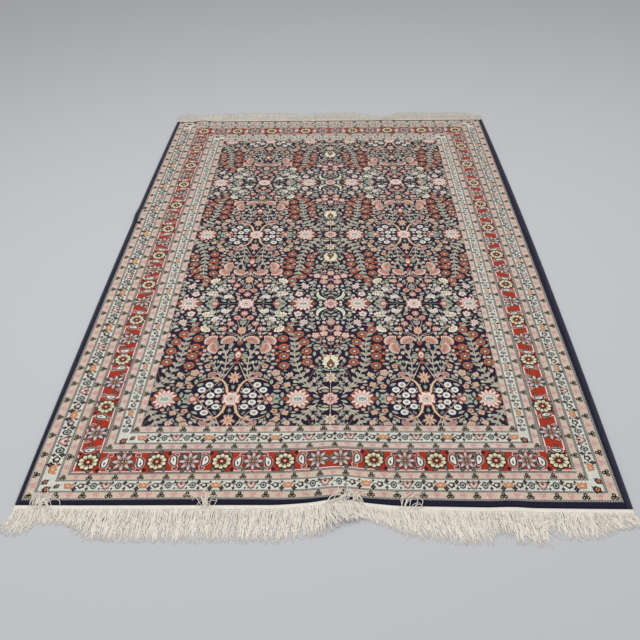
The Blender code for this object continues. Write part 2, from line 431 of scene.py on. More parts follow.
def ring_rosette(radius, petals, squash, tip="deepred"):
    """A white flower with red petal tips, round a small white flower with a red heart."""
    layers = nested(scallop(radius, petals, 0.18, 4, squash), ("rose", 1.0), ("palepink", 0.93))
    layers += ring_of(tip, oval(radius * 0.17, radius * 0.12, 6), 8, radius * 0.82, 0.0, squash)
    blade = petal(radius * 0.30, radius * 0.24)
    layers += ring_of("white", blade, petals, radius * 0.42, 0.0, squash)
    layers += nested(scallop(radius, petals, 0.16, 2, squash), ("rose", 0.46), ("white", 0.40))
    heart = (("rose", 0.26), ("cream", 0.20), ("deepred", 0.13))
    return layers + nested(oval(radius, radius * squash), *heart)


FAN_SPREAD = 1.9


def fan_flower(radius, rays, fill, line, rim="palepink"):
    """A carnation from the side: a deep fan of narrow petals on a small cup, opening along +X."""
    outline = [(radius * 0.06, -radius * 0.05)]
    for k in range(rays * 2 + 1):
        t = k / (rays * 2)
        angle = between(-FAN_SPREAD / 2, FAN_SPREAD / 2, t)
        r = radius * (1.0 if k % 2 else 0.90) * (0.80 + 0.20 * math.sin(math.pi * t))
        outline.append((r * math.cos(angle), r * math.sin(angle)))
    outline.append((radius * 0.06, radius * 0.05))
    layers = [(rim, outline), (fill, moved(stretched(outline, 0.84, 0.84), radius * 0.02, 0))]
    for k in range(rays - 1):
        ray = moved(tick(radius * 0.64, radius * 0.085), radius * 0.22, 0)
        angle = between(-FAN_SPREAD / 2, FAN_SPREAD / 2, (k + 1) / rays)
        layers.append((line, turned(ray, angle)))
    layers.append((line, oval(radius * 0.24, radius * 0.20)))
    return layers + [("sage", moved(oval(radius * 0.20, radius * 0.14), -radius * 0.06, 0))]


def bud(length, width, fill, edge="brown"):
    """A closed bud along +X with two sepals."""
    layers = [(edge, outset(drop(length, width), 1.0)), (fill, drop(length, width))]
    layers.append((edge, moved(drop(length * 0.5, width * 0.34, 3), length * 0.42, 0)))
    for side in (1, -1):
        sepal = leaf(length * 0.72, width * 0.42, side * 0.5)
        layers.append(("sage", turned(sepal, side * 0.62)))
    return layers


def tulip(length, width, fill, edge, inner):
    """An open three-tipped tulip along +X."""
    half = [(0.30, 0.46), (0.62, 0.52), (1.0, 0.56), (0.74, 0.22)]
    outline = [(0, 0)] + [(x, -y) for x, y in half] + [(1.02, 0)] + half[::-1]
    outline = stretched(outline, length, width)
    eye = nested(oval(length, width * 0.8), (edge, 0.24), (inner, 0.16))
    return [(edge, outset(outline, 1.1)), (fill, outline)] + placed(eye, length * 0.44, 0)


def sepal_bud(size):
    """A bud of red flames in a toothed green calyx, pointing along +X."""
    calyx = []
    for k in range(11):
        angle = between(math.pi * 0.36, math.pi * 1.64, k / 10)
        r = size * (0.54 if k % 2 else 0.40)
        calyx.append((r * math.cos(angle) - size * 0.04, r * math.sin(angle)))
    layers = [("tan", outset(calyx, 1.2)), ("sage", calyx)]
    layers += [("forest", moved(oval(size * 0.14, size * 0.16, 6), -size * 0.30, 0))]
    flame = [(-0.10, -0.24), (0.20, -0.40), (0.24, -0.20), (0.52, -0.24), (0.40, -0.08), (0.66, 0)]
    flame = stretched(flame + [(x, -y) for x, y in flame[-2::-1]], size, size)
    layers += [("deepred", flame), ("pink", stretched(moved(flame, size * 0.06, 0), 0.68, 0.66))]
    eye = [("white", oval(size * 0.14, size * 0.10, 6))]
    eye.append(("rust", oval(size * 0.06, size * 0.05, 5)))
    return layers + placed(eye, size * 0.12, 0)


def palmette(rx, ry):
    """An oval flower of pointed petals round a grey-green heart, with a boss at each side."""
    teeth = 14
    layers = [("brown", star(1.04, teeth, 0.74)), ("palepink", star(0.97, teeth, 0.74))]
    layers += ring_of("rose", tick(0.30, 0.085), teeth, 0.54, math.pi / teeth)
    layers += ring_of("white", tick(0.30, 0.12), teeth, 0.60)
    layers += nested(scallop(0.56, teeth, 0.14, 2, 0.86), ("rose", 1.0), ("white", 0.90))
    layers += nested(star(0.40, 8, 0.66, 0.70), ("slate", 1.0), ("sage", 0.86))
    layers += [("white", moved(oval(0.20, 0.026, 6), 0, y)) for y in (-0.09, 0.09)]
    layers += [("forest", moved(oval(0.24, 0.04, 6), 0, 0))]
    for angle in (40, 140, 220, 320):
        dye = "brown" if angle in (40, 220) else "rust"
        x, y = 0.86 * math.cos(angle * DEG), 0.84 * math.sin(angle * DEG)
        layers += placed([(dye, oval(0.17, 0.12, 6))], x, y, angle)
    layers = [(dye, stretched(shape, rx, ry)) for dye, shape in layers]
    boss = [(0.34, 0), (0.06, 0.24), (-0.24, 0.12), (-0.24, -0.12), (0.06, -0.24)]
    for side in (-1, 1):
        for dye, size in (("ink", 1.1), ("brown", 0.94), ("rust", 0.6)):
            nest = stretched(stretched(boss, size, size), rx * side, ry * side)
            layers.append((dye, moved(nest, side * rx * 0.88, 0)))
    return layers


def crown_palmette(width, height):
    """An upright cream palmette of pointed petals with a brown heart, growing along +Y."""
    tips = 13
    outline = star(1.0, tips, 0.80, phase=math.pi / 2)
    outline = stretched(outline, width / 2, height * 0.46)
    layers = placed(nested(outline, ("club", 1.05), ("cream", 0.97)), 0, height * 0.5)
    for k in range(tips):
        angle = math.pi / 2 + math.tau * k / tips
        x, y = width * 0.27 * math.cos(angle), height * (0.5 + 0.25 * math.sin(angle))
        dye = "straw" if k % 2 else "sage"
        layers.append((dye, moved(turned(tick(height * 0.16, 2.8), angle), x, y)))
    heart = [(0, 0.14), (0.15, 0.22), (0.20, 0.38), (0, 0.66), (-0.20, 0.38), (-0.15, 0.22)]
    heart = stretched(heart, width, height)
    layers += [("club", outset(heart, 1.8)), ("brown", heart)]
    eye = nested(oval(width * 0.10, height * 0.12), ("ink", 1.0), ("white", 0.6))
    layers += placed(eye, 0, height * 0.30)
    flame = nested(leaf(height * 0.36, 6.5), ("rust", 1.0), ("white", 0.85))
    for side in (-1, 1):
        layers += placed(flame, side * width * 0.20, height * 0.34, 90 - side * 24)
    crest = [("rust", drop(height * 0.20, width * 0.15))]
    crest.append(("cream", moved(drop(height * 0.14, width * 0.09), 2, 0)))
    layers += placed(crest, 0, height * 0.82, 90)
    for side in (1, -1):
        layers.append(("sage", turned(leaf(width * 0.5, 8, side * 0.5), math.pi / 2 - side * 1.15)))
    return layers


def heart_flower(width, height):
    """A rust heart with a white flame, between grey-green side leaves, growing along +Y."""
    half = [(0.34, 0.26), (0.42, 0.56), (0.24, 0.84)]
    heart = stretched([(0, 0)] + half + [(0, 1)] + [(-x, y) for x, y in half[::-1]], width, height)
    layers = []
    lobe = (("forest", 1.08), ("sage", 0.94), ("forest", 0.32))
    lobe = nested(scallop(width * 0.44, 5, 0.3), *lobe)
    for side in (-1, 1):
        layers += placed(lobe, side * width * 0.60, height * 0.42)
    layers += [("navy", outset(heart, 1.4)), ("rust", heart)]
    layers += [("peach", [(x * 0.70, height * 0.24 + y * 0.62) for x, y in heart])]
    layers += [("white", [(x * 0.50, height * 0.34 + y * 0.46) for x, y in heart])]
    layers += placed(nested(oval(width * 0.12, height * 0.10, 6), ("rose", 1.0)), 0, height * 0.50)
    return layers + placed([("rust", drop(height * 0.34, width * 0.26))], 0, height * 0.08, -90)


# The flower field. One half repeat is charted, from the axis of the crown palmettes at u = 0
# to the axis of the ring rosettes, and from one row of palmettes at v = 0 to the next.

HALF_U = 309
HALF_V = 488

# How much heavier the stems are drawn than charted, and the leaf pairs along them: how far apart
# and how long against the chart, the first one's share of a step, and their turn in degrees.
STEM_WEIGHT = 1.25
LEAF_SPREAD = 1.15
LEAF_GROWTH = 1.12
FIRST_PAIR = 0.6
PAIR_TURN = 42

# Dye, width, spacing and length of the leaf pairs (0 for none), route.
STEMS = (
    ("tan", 2.3, 0, 0, ((0, 20), (0, 145))),
    ("rose", 2.0, 30, 16, ((0, 205), (0, 480))),
    ("tan", 3.0, 23, 23, (
        (40, 22), (72, 68), (102, 123), (119, 190), (121, 250), (128, 305), (140, 330),
    )),
    ("tan", 2.6, 22, 18, ((46, 28), (92, 76), (118, 100), (140, 100))),
    ("brown", 2.2, 0, 0, ((77, 76), (62, 110), (52, 140))),
    ("tan", 2.3, 0, 0, ((110, 148), (98, 164), (80, 170))),
    ("tan", 2.3, 0, 0, ((117, 178), (134, 162), (150, 154))),
    ("tan", 2.1, 0, 0, ((119, 205), (100, 216), (84, 224))),
    ("tan", 2.1, 0, 0, ((120, 226), (138, 208), (153, 200))),
    ("tan", 2.1, 0, 0, ((121, 256), (106, 266), (92, 272))),
    ("tan", 2.1, 0, 0, ((122, 268), (140, 254), (157, 246))),
    ("tan", 2.3, 0, 0, ((90, 108), (78, 122), (77, 132))),
    ("tan", 2.8, 25, 19, ((262, 86), (272, 130), (270, 200), (254, 240), (228, 264))),
    ("tan", 2.4, 0, 0, ((268, 205), (276, 236), (280, 260))),
    ("tan", 2.3, 0, 0, ((268, 196), (260, 224), (246, 246))),
    ("tan", 2.6, 0, 0, ((270, 87), (290, 135), (304, 172))),
    ("tan", 2.4, 0, 0, ((205, 2), (232, 40), (250, 62), (268, 88))),
    ("tan", 1.8, 0, 0, ((236, 46), (243, 16))),
    ("tan", 1.8, 0, 0, ((238, 48), (265, 36))),
    ("tan", 1.8, 0, 0, ((225, 30), (212, 40))),
    ("tan", 2.3, 24, 17, ((262, 96), (245, 140), (225, 172), (195, 182))),
    ("tan", 2.1, 0, 0, ((245, 140), (230, 152), (215, 151))),
    ("tan", 2.1, 0, 0, ((252, 150), (258, 168))),
    ("brown", 3.0, 26, 21, ((196, 330), (207, 352), (212, 400), (206, 440), (190, 470))),
    ("tan", 2.2, 0, 0, ((309, 275), (300, 305), (276, 322), (262, 345), (265, 372))),
    ("tan", 2.2, 22, 17, ((309, 275), (309, 420))),
    ("tan", 2.0, 0, 0, ((296, 305), (262, 318), (243, 343))),
    ("tan", 2.0, 0, 0, ((302, 340), (292, 372), (286, 405))),
    ("rose", 2.0, 0, 0, ((0, 296), (26, 320), (26, 345))),
    ("rose", 2.0, 22, 15, ((10, 240), (34, 262), (52, 300))),
    ("forest", 2.6, 0, 0, ((208, 488), (282, 488))),
    ("tan", 2.2, 22, 18, ((133, 344), (140, 372), (120, 400), (117, 426))),
    ("tan", 2.0, 0, 0, ((133, 360), (110, 368), (96, 378))),
    ("tan", 2.0, 20, 16, ((60, 330), (66, 372), (67, 425))),
    ("tan", 2.0, 22, 17, ((206, 440), (170, 452), (140, 462))),
    ("tan", 2.0, 22, 15, ((212, 400), (232, 420), (250, 452))),
    ("tan", 2.0, 22, 17, ((130, 40), (160, 72), (176, 112))),
    ("tan", 2.0, 22, 16, ((20, 58), (44, 84), (40, 120))),
)


def field_motifs():
    """Every motif of the field, with its places in the half repeat: u, v, turn in degrees."""
    crescent = [
        ("tan", sickle(42, 15, -1.9)),
        ("sage", moved(sickle(34, 9, -1.9), 2, 0)),
        ("cream", moved(sickle(30, 4, -1.9), 4, 2)),
    ]
    blade = sickle(70, 17, -2.0)
    long_leaf = [("forest", outset(blade, 1.8)), ("cream", blade)]
    long_leaf.append(("sage", moved(sickle(52, 4, -1.8), 6, 0)))
    curve = ((-16, 30), (-21, 56), (-36, 82), (-60, 92), (-88, 90), (-110, 77))
    horn_tip = [("rose", leaf(32, 9, 0.6)), ("pink", moved(leaf(22, 4, 0.6), 4, 0))]
    horn = [("rust", ribbon(curve, 11, 3, 0.25)), ("straw", ribbon(curve, 8, 3, 0.15))]
    horn += placed(horn_tip, -42, 88, 158)
    return {
        "cream crescent": (crescent, ((4, 44, 35),)),
        "pink rosette": (lobed_rosette(29, 9, "palepink", "rose", "pink", "slate", "white"), (
            (0, 0, 0), (0, 488, 0),
        )),
        "cream star": (star_flower(25, 1.22, "cream", "rose", "peach", "slate"), ((0, 96, 0),)),
        "crown palmette": (crown_palmette(64, 88), ((0, 129, 0),)),
        "pale blossom": (blossom(17, 5, "palepink", "rose", "cream"), (
            (0, 289, 90), (52, 308, 50), (24, 318, 10),
        )),
        "pink blossom": (blossom(19, 6, "pink", "rose", "cream"), ((26, 347, 20), (0, 382, 12))),
        "rust bud": (bud(17, 9, "rust"), ((34, 284, 90), (52, 134, 100), (14, 244, 60))),
        "long cream leaf": (long_leaf, ((13, 462, -8),)),
        "palmette": (palmette(42, 43), ((102, 0, 0), (100, 488, 0))),
        "sepal bud": (sepal_bud(48), ((182, 0, 0), (188, 488, 0))),
        "daisy": (daisy(), ((233, 63, 0), (212, 40, 0), (265, 36, 0), (243, 16, 0))),
        "straw horn": (horn, ((309, 0, 0),)),
        "pink fan": (fan_flower(27, 6, "rose", "pink", "pink"), ((240, 98, 105),)),
        "ring rosette": (ring_rosette(32, 12, 1.14), ((309, 0, 0),)),
        "spade": ([("forest", drop(22, 14)), ("sage", moved(drop(16, 9), 2, 0))], ((309, 40, 90),)),
        "peach star": (star_flower(22, 1.45, "peach", "rust", "straw", "rust"), ((309, 98, 0),)),
        "peach bud": (bud(19, 10, "peach", "rust"), (
            (309, 130, 90), (270, 474, 200), (282, 458, 250), (262, 456, 225), (286, 470, 230),
            (275, 238, 70),
        )),
        "heart": (heart_flower(32, 56), ((309, 176, 0),)),
        "rust stud": (nested(oval(11, 11, 4), ("rust", 1.0), ("brown", 0.6)), ((309, 264, 0),)),
        "oval rosette": (lobed_rosette(17, 8, "peach", "rust", "cream", "rust", "cream", 1.3), (
            (309, 333, 0),
        )),
        "small pink": (blossom(15, 8, "pink", "rust", "cream"), (
            (243, 343, 0), (265, 372, 10), (309, 431, 0),
        )),
        "small rust": (blossom(15, 8, "pink", "rust", "rust"), ((286, 405, 0),)),
        "cream bud": (bud(18, 11, "white", "brown"), (
            (268, 322, 80), (236, 380, 60), (200, 180, 135), (250, 206, 110), (228, 332, 70),
            (160, 384, 100),
        )),
        "rose ring": (ring_rosette(33, 12, 1.0, "rose"), ((309, 488, 0),)),
        "disc": (disc_flower(), (
            (77, 170, 0), (81, 225, 0), (90, 273, 0), (110, 313, 0), (146, 338, 0), (153, 153, 0),
            (156, 200, 0), (159, 245, 0), (164, 290, 0),
        )),
        "brown stud": (blossom(9.5, 5, "brown", "rust", "straw"), (
            (148, 372, 0), (185, 246, 0), (181, 214, 0), (176, 178, 0),
        )),
        "carnation": (fan_flower(47, 9, "beige", "rose"), (
            (226, 266, 138), (280, 262, 124), (244, 246, 196),
        )),
        "white blossom": (blossom(18, 5, "white", "rose", "pink"), ((117, 428, 18),)),
        "white star": (star_flower(21, 1.0, "white", "rose", "palepink", "sage"), ((95, 380, 0),)),
        "white bud": (bud(19, 12, "white", "brown"), (
            (124, 392, 20), (214, 358, 70), (222, 444, 50), (84, 350, 150),
        )),
        "cream fan": (fan_flower(36, 5, "cream", "brown", "white"), (
            (172, 404, 75), (192, 356, 230),
        )),
        "large cream bud": (bud(25, 16, "white", "brown"), ((186, 420, 60), (152, 436, 120))),
        "small cream fan": (fan_flower(27, 5, "white", "rose", "white"), (
            (240, 428, 95), (214, 384, 120),
        )),
        "pink bud": (bud(19, 12, "palepink", "rust"), (
            (67, 420, 80), (230, 184, 60), (77, 118, 100),
        )),
        "peach rose": (lobed_rosette(17, 5, "peach", "brown", "straw", "sage", "cream"), (
            (178, 119, 0),
        )),
        "peach tulip": (tulip(23, 21, "peach", "brown", "straw"), ((126, 100, 60),)),
        "peach blossom": (blossom(14, 4, "peach", "brown", "straw"), ((138, 64, 30), (164, 92, 0))),
        "straw blossom": (blossom(13, 5, "beige", "brown", "rust"), (
            (172, 56, 12), (215, 151, 20),
        )),
        "straw bud": (bud(16, 10, "straw", "sage"), ((255, 160, 80), (104, 74, 20))),
    }


def leaf_pairs(route, spacing, length):
    """Pairs of bent leaves along a stem, each with a paler vein."""
    layers = []
    path = smooth_path(route, 8)
    passed = 0.0
    wanted = spacing * FIRST_PAIR
    for (ax, ay), (bx, by) in zip(path, path[1:]):
        step = math.hypot(bx - ax, by - ay)
        while step and passed + step >= wanted:
            t = (wanted - passed) / step
            heading = math.atan2(by - ay, bx - ax) / DEG
            for side in (1, -1):
                blade = leaf_motif(length * LEAF_GROWTH, side * 0.4)
                layers += placed(
                    blade, between(ax, bx, t), between(ay, by, t), heading + side * PAIR_TURN,
                )
            wanted += spacing * LEAF_SPREAD
        passed += step
    return layers


def leaf_motif(length, bend, dye="sage"):
    """A leaf with a lighter edge."""
    edge = leaf(length, length * 0.46, bend, 4 if length > 20 else 3)
    blade = leaf(length * 0.92, length * 0.37, bend)
    return [("tan", edge), (dye, moved(blade, length * 0.03, -length * 0.03))]


# The ground between the charted motifs fills with leaves and small buds: kind, room that it needs
# round its middle, length. Each kind takes the free places that are left to it, in this order.
FILLINGS = (
    ("large leaf", 7.5, 25),
    ("bud", 7.0, 17),
    ("dark leaf", 6.2, 20),
    ("star", 6.6, 8),
    ("leaf", 5.2, 18),
    ("small leaf", 4.0, 12),
)
TRIES = 420
RIM = 6
LIGHT_ROWS = 330
FILLING_SEED = 7


def filling(kind, length, row):
    """A small motif. Its dyes are lighter towards the row of the ring rosettes with red hearts."""
    light = row > LIGHT_ROWS
    if kind == "star":
        fill, edge = ("white", "rose") if light else ("peach", "rust")
        return blossom(length, 5, fill, edge, "straw")
    motif = leaf_motif(length, 0.3, "forest" if kind == "dark leaf" else "sage")
    if kind == "bud":
        motif = bud(length, length * 0.6, "white" if light else "palepink", "rose")
    return placed(motif, -length / 2, 0)


class Room:
    """The free ground of a design, kept as the points of what is drawn on it."""

    CELL = 12.0

    def __init__(self, layers):
        self.cells = {}
        for _, shape in layers:
            self.take(shape)

    def take(self, shape):
        """Note a shape's points as taken."""
        for x, y in shape:
            self.cells.setdefault((int(x // self.CELL), int(y // self.CELL)), []).append((x, y))

    def clearance(self, x, y):
        """How far off the nearest taken point is, one cell at the most."""
        column, row = int(x // self.CELL), int(y // self.CELL)
        near = self.CELL
        for i in (-1, 0, 1):
            for j in (-1, 0, 1):
                for px, py in self.cells.get((column + i, row + j), ()):
                    near = min(near, math.hypot(px - x, py - y))
        return near


def half_repeat():
    """All layers of the half repeat, stems first."""
    layers = []
    for *_, spacing, length, route in STEMS:
        if spacing:
            layers += leaf_pairs(route, spacing, length)
    for dye, width, *_, route in STEMS:
        layers.append((dye, ribbon(route, width * STEM_WEIGHT)))
    for motif, places in field_motifs().values():
        for u, v, turn in places:
            layers += placed(motif, u, v, turn)
    room = Room(layers)
    draw = random.Random(FILLING_SEED)
    fill = []
    for kind, needed, length in FILLINGS:
        for _ in range(TRIES):
            u, v = draw.uniform(RIM, HALF_U - RIM), draw.uniform(RIM, HALF_V - RIM)
            if room.clearance(u, v) < needed:
                continue
            reach = length * 0.42 if kind != "star" else 0.0
            free = []
            for heading in range(0, 360, 30):
                x, y = reach * math.cos(heading * DEG), reach * math.sin(heading * DEG)
                ends = room.clearance(u + x, v + y), room.clearance(u - x, v - y)
                free.append((min(ends), -heading))
            widest, heading = max(free)
            if widest < needed * 0.5:
                continue
            motif = placed(filling(kind, length, v), u, v, -heading)
            for _, shape in motif:
                room.take(shape)
            fill += motif
    return fill + layers


# The borders. Places along a side are in millimetres from the middle of the rug across it, and
# from the near end of the pile along it.

HALF_MM = HALF_WIDTH / MM
LENGTH_MM = LENGTH / MM
SIDES = ("near", "far", "left", "right")

# Dye, then how far the band reaches in from the outer edge: near, far, left, right.
BANDS = (
    ("navy", 20, 12, 21, 31),
    ("bead", 26, 16, 29, 39),
    ("greige", 46, 34, 53, 63),
    ("bead", 52, 40, 61, 71),
    ("guard", 84, 66, 100, 103),
    ("bead", 89, 72, 107, 111),
    ("greige", 107, 88, 128, 129),
    ("bead", 113, 93, 136, 138),
    ("red", 191, 172, 203, 196),
    ("bead", 199, 178, 211, 205),
    ("greige", 217, 194, 231, 224),
    ("bead", 223, 200, 238, 231),
    ("guard", 259, 228, 270, 260),
    ("bead", 264, 233, 277, 266),
    ("greige", 285, 250, 297, 283),
    ("bead", 287, 252, 299, 285),
)
LINE_BANDS = (1, 3, 5, 7, 9, 11, 13, 15)
STRIPE_BANDS = (2, 6, 10, 14)
GUARD_BANDS = (4, 12)
RED_BAND = 8
FIELD_BAND = len(BANDS) - 1

# The widths that the motifs of the guard borders and of the main border are drawn for.
GUARD_WIDTHS = {4: 33, 12: 37}
RED_WIDTH = 76

# Middles of the rosettes of the main border, and of the palmettes of the near guards.
NEAR_ROSETTES = (-677, -477, -288, -104, 154, 335, 506, 684)
FAR_ROSETTES = (-676, -494, -308, -125, 130, 317, 500, 680)
SIDE_ROSETTES = (154, 368, 583, 792, 1004, 1204, 1406, 1604, 1798, 1990, 2186, 2375)
NEAR_PALMETTES = {
    4: (-606, -393, -195, 14, 245, 430, 622),
    12: (-437, -238, -37, 87, 283, 471),
}

# Narrow stripes: from one club or trefoil to the next, and the largest club.
CLUB_STEP = 36.5
CLUB_SIZE = 19

# Guard borders: from one motif to the next, and the sizes of the motifs. The kinds are 0 a
# palmette, 1 a ring, 2 a blossom and 3 a tulip. Between two motifs stand an outer and an inner
# lozenge, which grow or shrink by the higher kind.
MOTIF_STEP = 34.5
PALMETTE_SIZE = 28
RING_RADIUS = 11.6
BLOSSOM_RADIUS = 10.8
TULIP_SIZE = 21
LOZENGE_LENGTH = 7.4
LOZENGE_WIDTH = 5.6
LOZENGE_OUT = 10.5
KINDS = (1, 2, 3, 2, 1)
LOZENGE_SIZES = {1: (0.7, 0.9), 2: (1.0, 1.3), 3: (1.5, 0.8)}

# Blossoms in the corners of a guard border: steps out from the corner of its middle line, radius.
CORNER_BLOSSOMS = ((-2, 12, 12), (8, -14, 10), (3, -38, 8.5), (-28, 1, 8.5))
CORNER_CLEARANCE = 22

# Main border: two stars stand between rosettes that are at least this far apart, each so far from
# their middle and narrower along the border. A lone star is squeezed by its own gap. Stars and
# rosettes follow the border's width, down to the smallest bloom.
STAR_PAIR_GAP = 235
STAR_APART = 33
STAR_SQUEEZE = 0.86
LONE_SQUEEZE = 0.94
LONE_STAR_GAP = 218
SMALLEST_BLOOM = 0.96
STAR_RADIUS = 35
ROSETTE_RADIUS = 26

# The leaves round a paisley: length, width, turn, what they are placed from, how far along towards
# the star, how far to the side that the curls are on, and a shift inwards.
PAISLEY_LEAVES = (
    (23, 10, -25, "rosette", 26, 24, -11),
    (24, 10, 40, "star", -30, -23, -11),
    (15, 7, -80, "rosette", 14, -33, 0),
    (17, 7, 30, "star", -19, 31, -8),
    (16, 7, 60, "rosette", 62, -10, 0),
)

# The pale line of the main border: inset from the edge, half its width, and its brackets.
LINE_INSET = 3.6
LINE_HALF = 1.7
BRACKET_BACK = 40
BRACKET_FOOT = 9
BRACKET_DEPTH = 5.5


def reach(band, side):
    """How far a band reaches in from the outer edge on one side."""
    return 0.0 if band < 0 else BANDS[band][1 + SIDES.index(side)]


def band_width(band, side):
    """How wide a band is on one side of the rug."""
    return reach(band, side) - reach(band - 1, side)


def band_middle(band, side):
    """How far in from the outer edge the middle of a band lies."""
    return (reach(band, side) + reach(band - 1, side)) / 2


def band_outline(band):
    """The rectangle inside everything that lies outside a band."""
    outer = band - 1
    return box_shape(
        -HALF_MM + reach(outer, "left"), reach(outer, "near"),
        HALF_MM - reach(outer, "right"), LENGTH_MM - reach(outer, "far"),
    )


def band_ends(band, side):
    """Where the middle line of a band starts and stops along one side."""
    if side in ("near", "far"):
        return -HALF_MM + band_middle(band, "left"), HALF_MM - band_middle(band, "right")
    return band_middle(band, "near"), LENGTH_MM - band_middle(band, "far")


def on_side(layers, side, along, inward):
    """A motif drawn with +X towards the field, set on one side of the rug."""
    turn = {"near": 90, "far": -90, "left": 0, "right": 180}[side]
    x, y = {
        "near": (along, inward),
        "far": (along, LENGTH_MM - inward),
        "left": (inward - HALF_MM, along),
        "right": (HALF_MM - inward, along),
    }[side]
    return placed(layers, x, y, turn)


def trefoil(size, dye, heart, way):
    """Three small rings set in a triangle that points along X one way or the other."""
    layers = []
    for x, y in ((-0.22, 0.30), (-0.22, -0.30), (0.26, 0)):
        ring = nested(oval(size * 0.33, size * 0.33, 6), (dye, 1.0), (heart, 0.30))
        layers += placed(ring, way * x * size, y * size)
    return layers


def stripe(band):
    """A narrow stripe of dark clubs and coral trefoils in turn, with pale bows between them."""
    layers = []
    bow_dye = "block" if band < RED_BAND else "paleblock"
    for side in SIDES:
        width, middle = band_width(band, side), band_middle(band, side)
        size = min(width * 0.92, CLUB_SIZE)
        start, stop = band_ends(band, side)
        count = 2 * round((stop - start) / 2 / CLUB_STEP)
        stops = [between(start, stop, k / count) for k in range(count + 1)]
        for a, b in zip(stops, stops[1:]):
            for way in (-1, 1):
                foot, tip = way * (b - a) * 0.16, way * 0.6
                bow = [(-width * 0.43, foot), (0, tip), (width * 0.43, foot)]
                layers += on_side([(bow_dye, bow[::way])], side, (a + b) / 2, middle)
        shown = range(count + 1) if side in ("near", "far") else range(1, count)
        for k in shown:
            motif = trefoil(size, "club", "straw", 1)
            if k % 2:
                motif = trefoil(size * 0.88, "coral", "white", -1)
            layers += on_side(motif, side, stops[k], middle)
    return layers


def calyx(size, length, width):
    """Two green leaves at the foot of a guard border's motif."""
    layers = []
    for side in (-1, 1):
        blade = turned(leaf(size * length, size * width, side * 0.4), side * 1.4)
        layers.append(("forest", moved(blade, -size * 0.42, side * size * 0.12)))
    return layers


def guard_palmette(size):
    """A pink palmette, wide towards the field, with a navy heart."""
    half = [(-0.16, -0.34), (0.20, -0.52), (0.42, -0.40), (0.36, -0.14), (0.50, 0)]
    outline = stretched([(-0.5, 0)] + half + [(x, -y) for x, y in half[-2::-1]], size, size)
    layers = nested(outline, ("ink", 1.09), ("rose", 0.96), ("pink", 0.76), ("palepink", 0.46))
    layers.append(("navy", moved(star(size * 0.19, 4, 0.6), size * 0.16, 0)))
    return layers + calyx(size, 0.36, 0.13)


def guard_tulip(size):
    """An orange tulip with three stamens."""
    layers = placed(tulip(size, size * 1.12, "orange", "brown", "straw"), -size * 0.5, 0)
    stamen = nested(tick(size * 0.56, size * 0.16), ("rust", 1.0), ("straw", 0.8))
    for turn in (-40, 0, 40):
        layers += placed(stamen, -size * 0.14, 0, turn)
    return layers + calyx(size, 0.44, 0.17)


def guard_ring(radius):
    """A dark ring with a grey heart."""
    rings = (("ink", 1.05), ("guard", 0.66), ("slate", 0.50), ("ink", 0.28))
    return nested(oval(radius, radius * 0.80), *rings)


def guard_blossom(radius, petals="guard", heart="straw"):
    """A dark blossom with a light face turned a little to one side."""
    layers = nested(scallop(radius, 5, 0.24, 2, phase=0.5), ("ink", 1.05), ("brown", 0.58))
    eye = nested(oval(radius, radius, 6), (petals, 0.46), (heart, 0.26))
    return layers + placed(eye, radius * 0.10, radius * 0.14)


def lozenge(length, width):
    """A small dark stud of four points."""
    rim = star(length * 1.1, 4, 0.56, width / length)
    return [("ink", rim), ("brown", oval(length * 0.3, width * 0.3, 4))]


def guard_row(band, side):
    """The places of the motifs of a guard border along one side, with the kind of each."""
    start, stop = band_ends(band, side)
    middle = (start + stop) / 2
    palmettes = [middle + 6 * MOTIF_STEP * k for k in range(-6, 7)]
    if side == "near":
        palmettes = NEAR_PALMETTES[band]
    palmettes = [place for place in palmettes if start + MOTIF_STEP < place < stop - MOTIF_STEP]
    row = [(place, 0) for place in palmettes]
    for a, b in zip(palmettes, palmettes[1:]):
        kinds = KINDS if b - a > 4 * MOTIF_STEP else (1, 2, 1)
        row += [(between(a, b, k / (len(kinds) + 1)), kind) for k, kind in enumerate(kinds, 1)]
    for end, place, way in ((start, palmettes[0], -1), (stop, palmettes[-1], 1)):
        for kind in KINDS:
            place += way * MOTIF_STEP
            if (end - place) * way > MOTIF_STEP * 0.8:
                row.append((place, kind))
    return sorted(row)


def guard(band):
    """A guard border: palmettes and tulips in turn, with blossoms and rings between them."""
    layers = []
    for side in SIDES:
        width, middle = band_width(band, side), band_middle(band, side)
        scale = width / GUARD_WIDTHS[band]
        row = guard_row(band, side)
        motifs = (
            guard_palmette(PALMETTE_SIZE * scale), guard_ring(RING_RADIUS * scale),
            guard_blossom(BLOSSOM_RADIUS * scale), guard_tulip(TULIP_SIZE * scale),
        )
        for (a, first), (b, second) in zip(row, row[1:]):
            place = (a + b) / 2
            for way, share in zip((-1, 1), LOZENGE_SIZES[max(first, second)]):
                dark = lozenge(LOZENGE_LENGTH * scale * share, LOZENGE_WIDTH * scale * share)
                layers += on_side(dark, side, place, middle + way * LOZENGE_OUT * scale)
            for way in (-1, 1):
                stem = [("forest", turned(leaf(13 * scale, 5 * scale, 0.5 * way), way * 1.2))]
                layers += on_side(stem, side, place, middle + way * 2 * scale)
        for place, kind in row:
            layers += on_side(motifs[kind], side, place, middle)
    for x_end, x_side in enumerate(("left", "right")):
        for y_end, y_side in enumerate(("near", "far")):
            layers += guard_corner(band, x_end, x_side, y_end, y_side)
    return layers


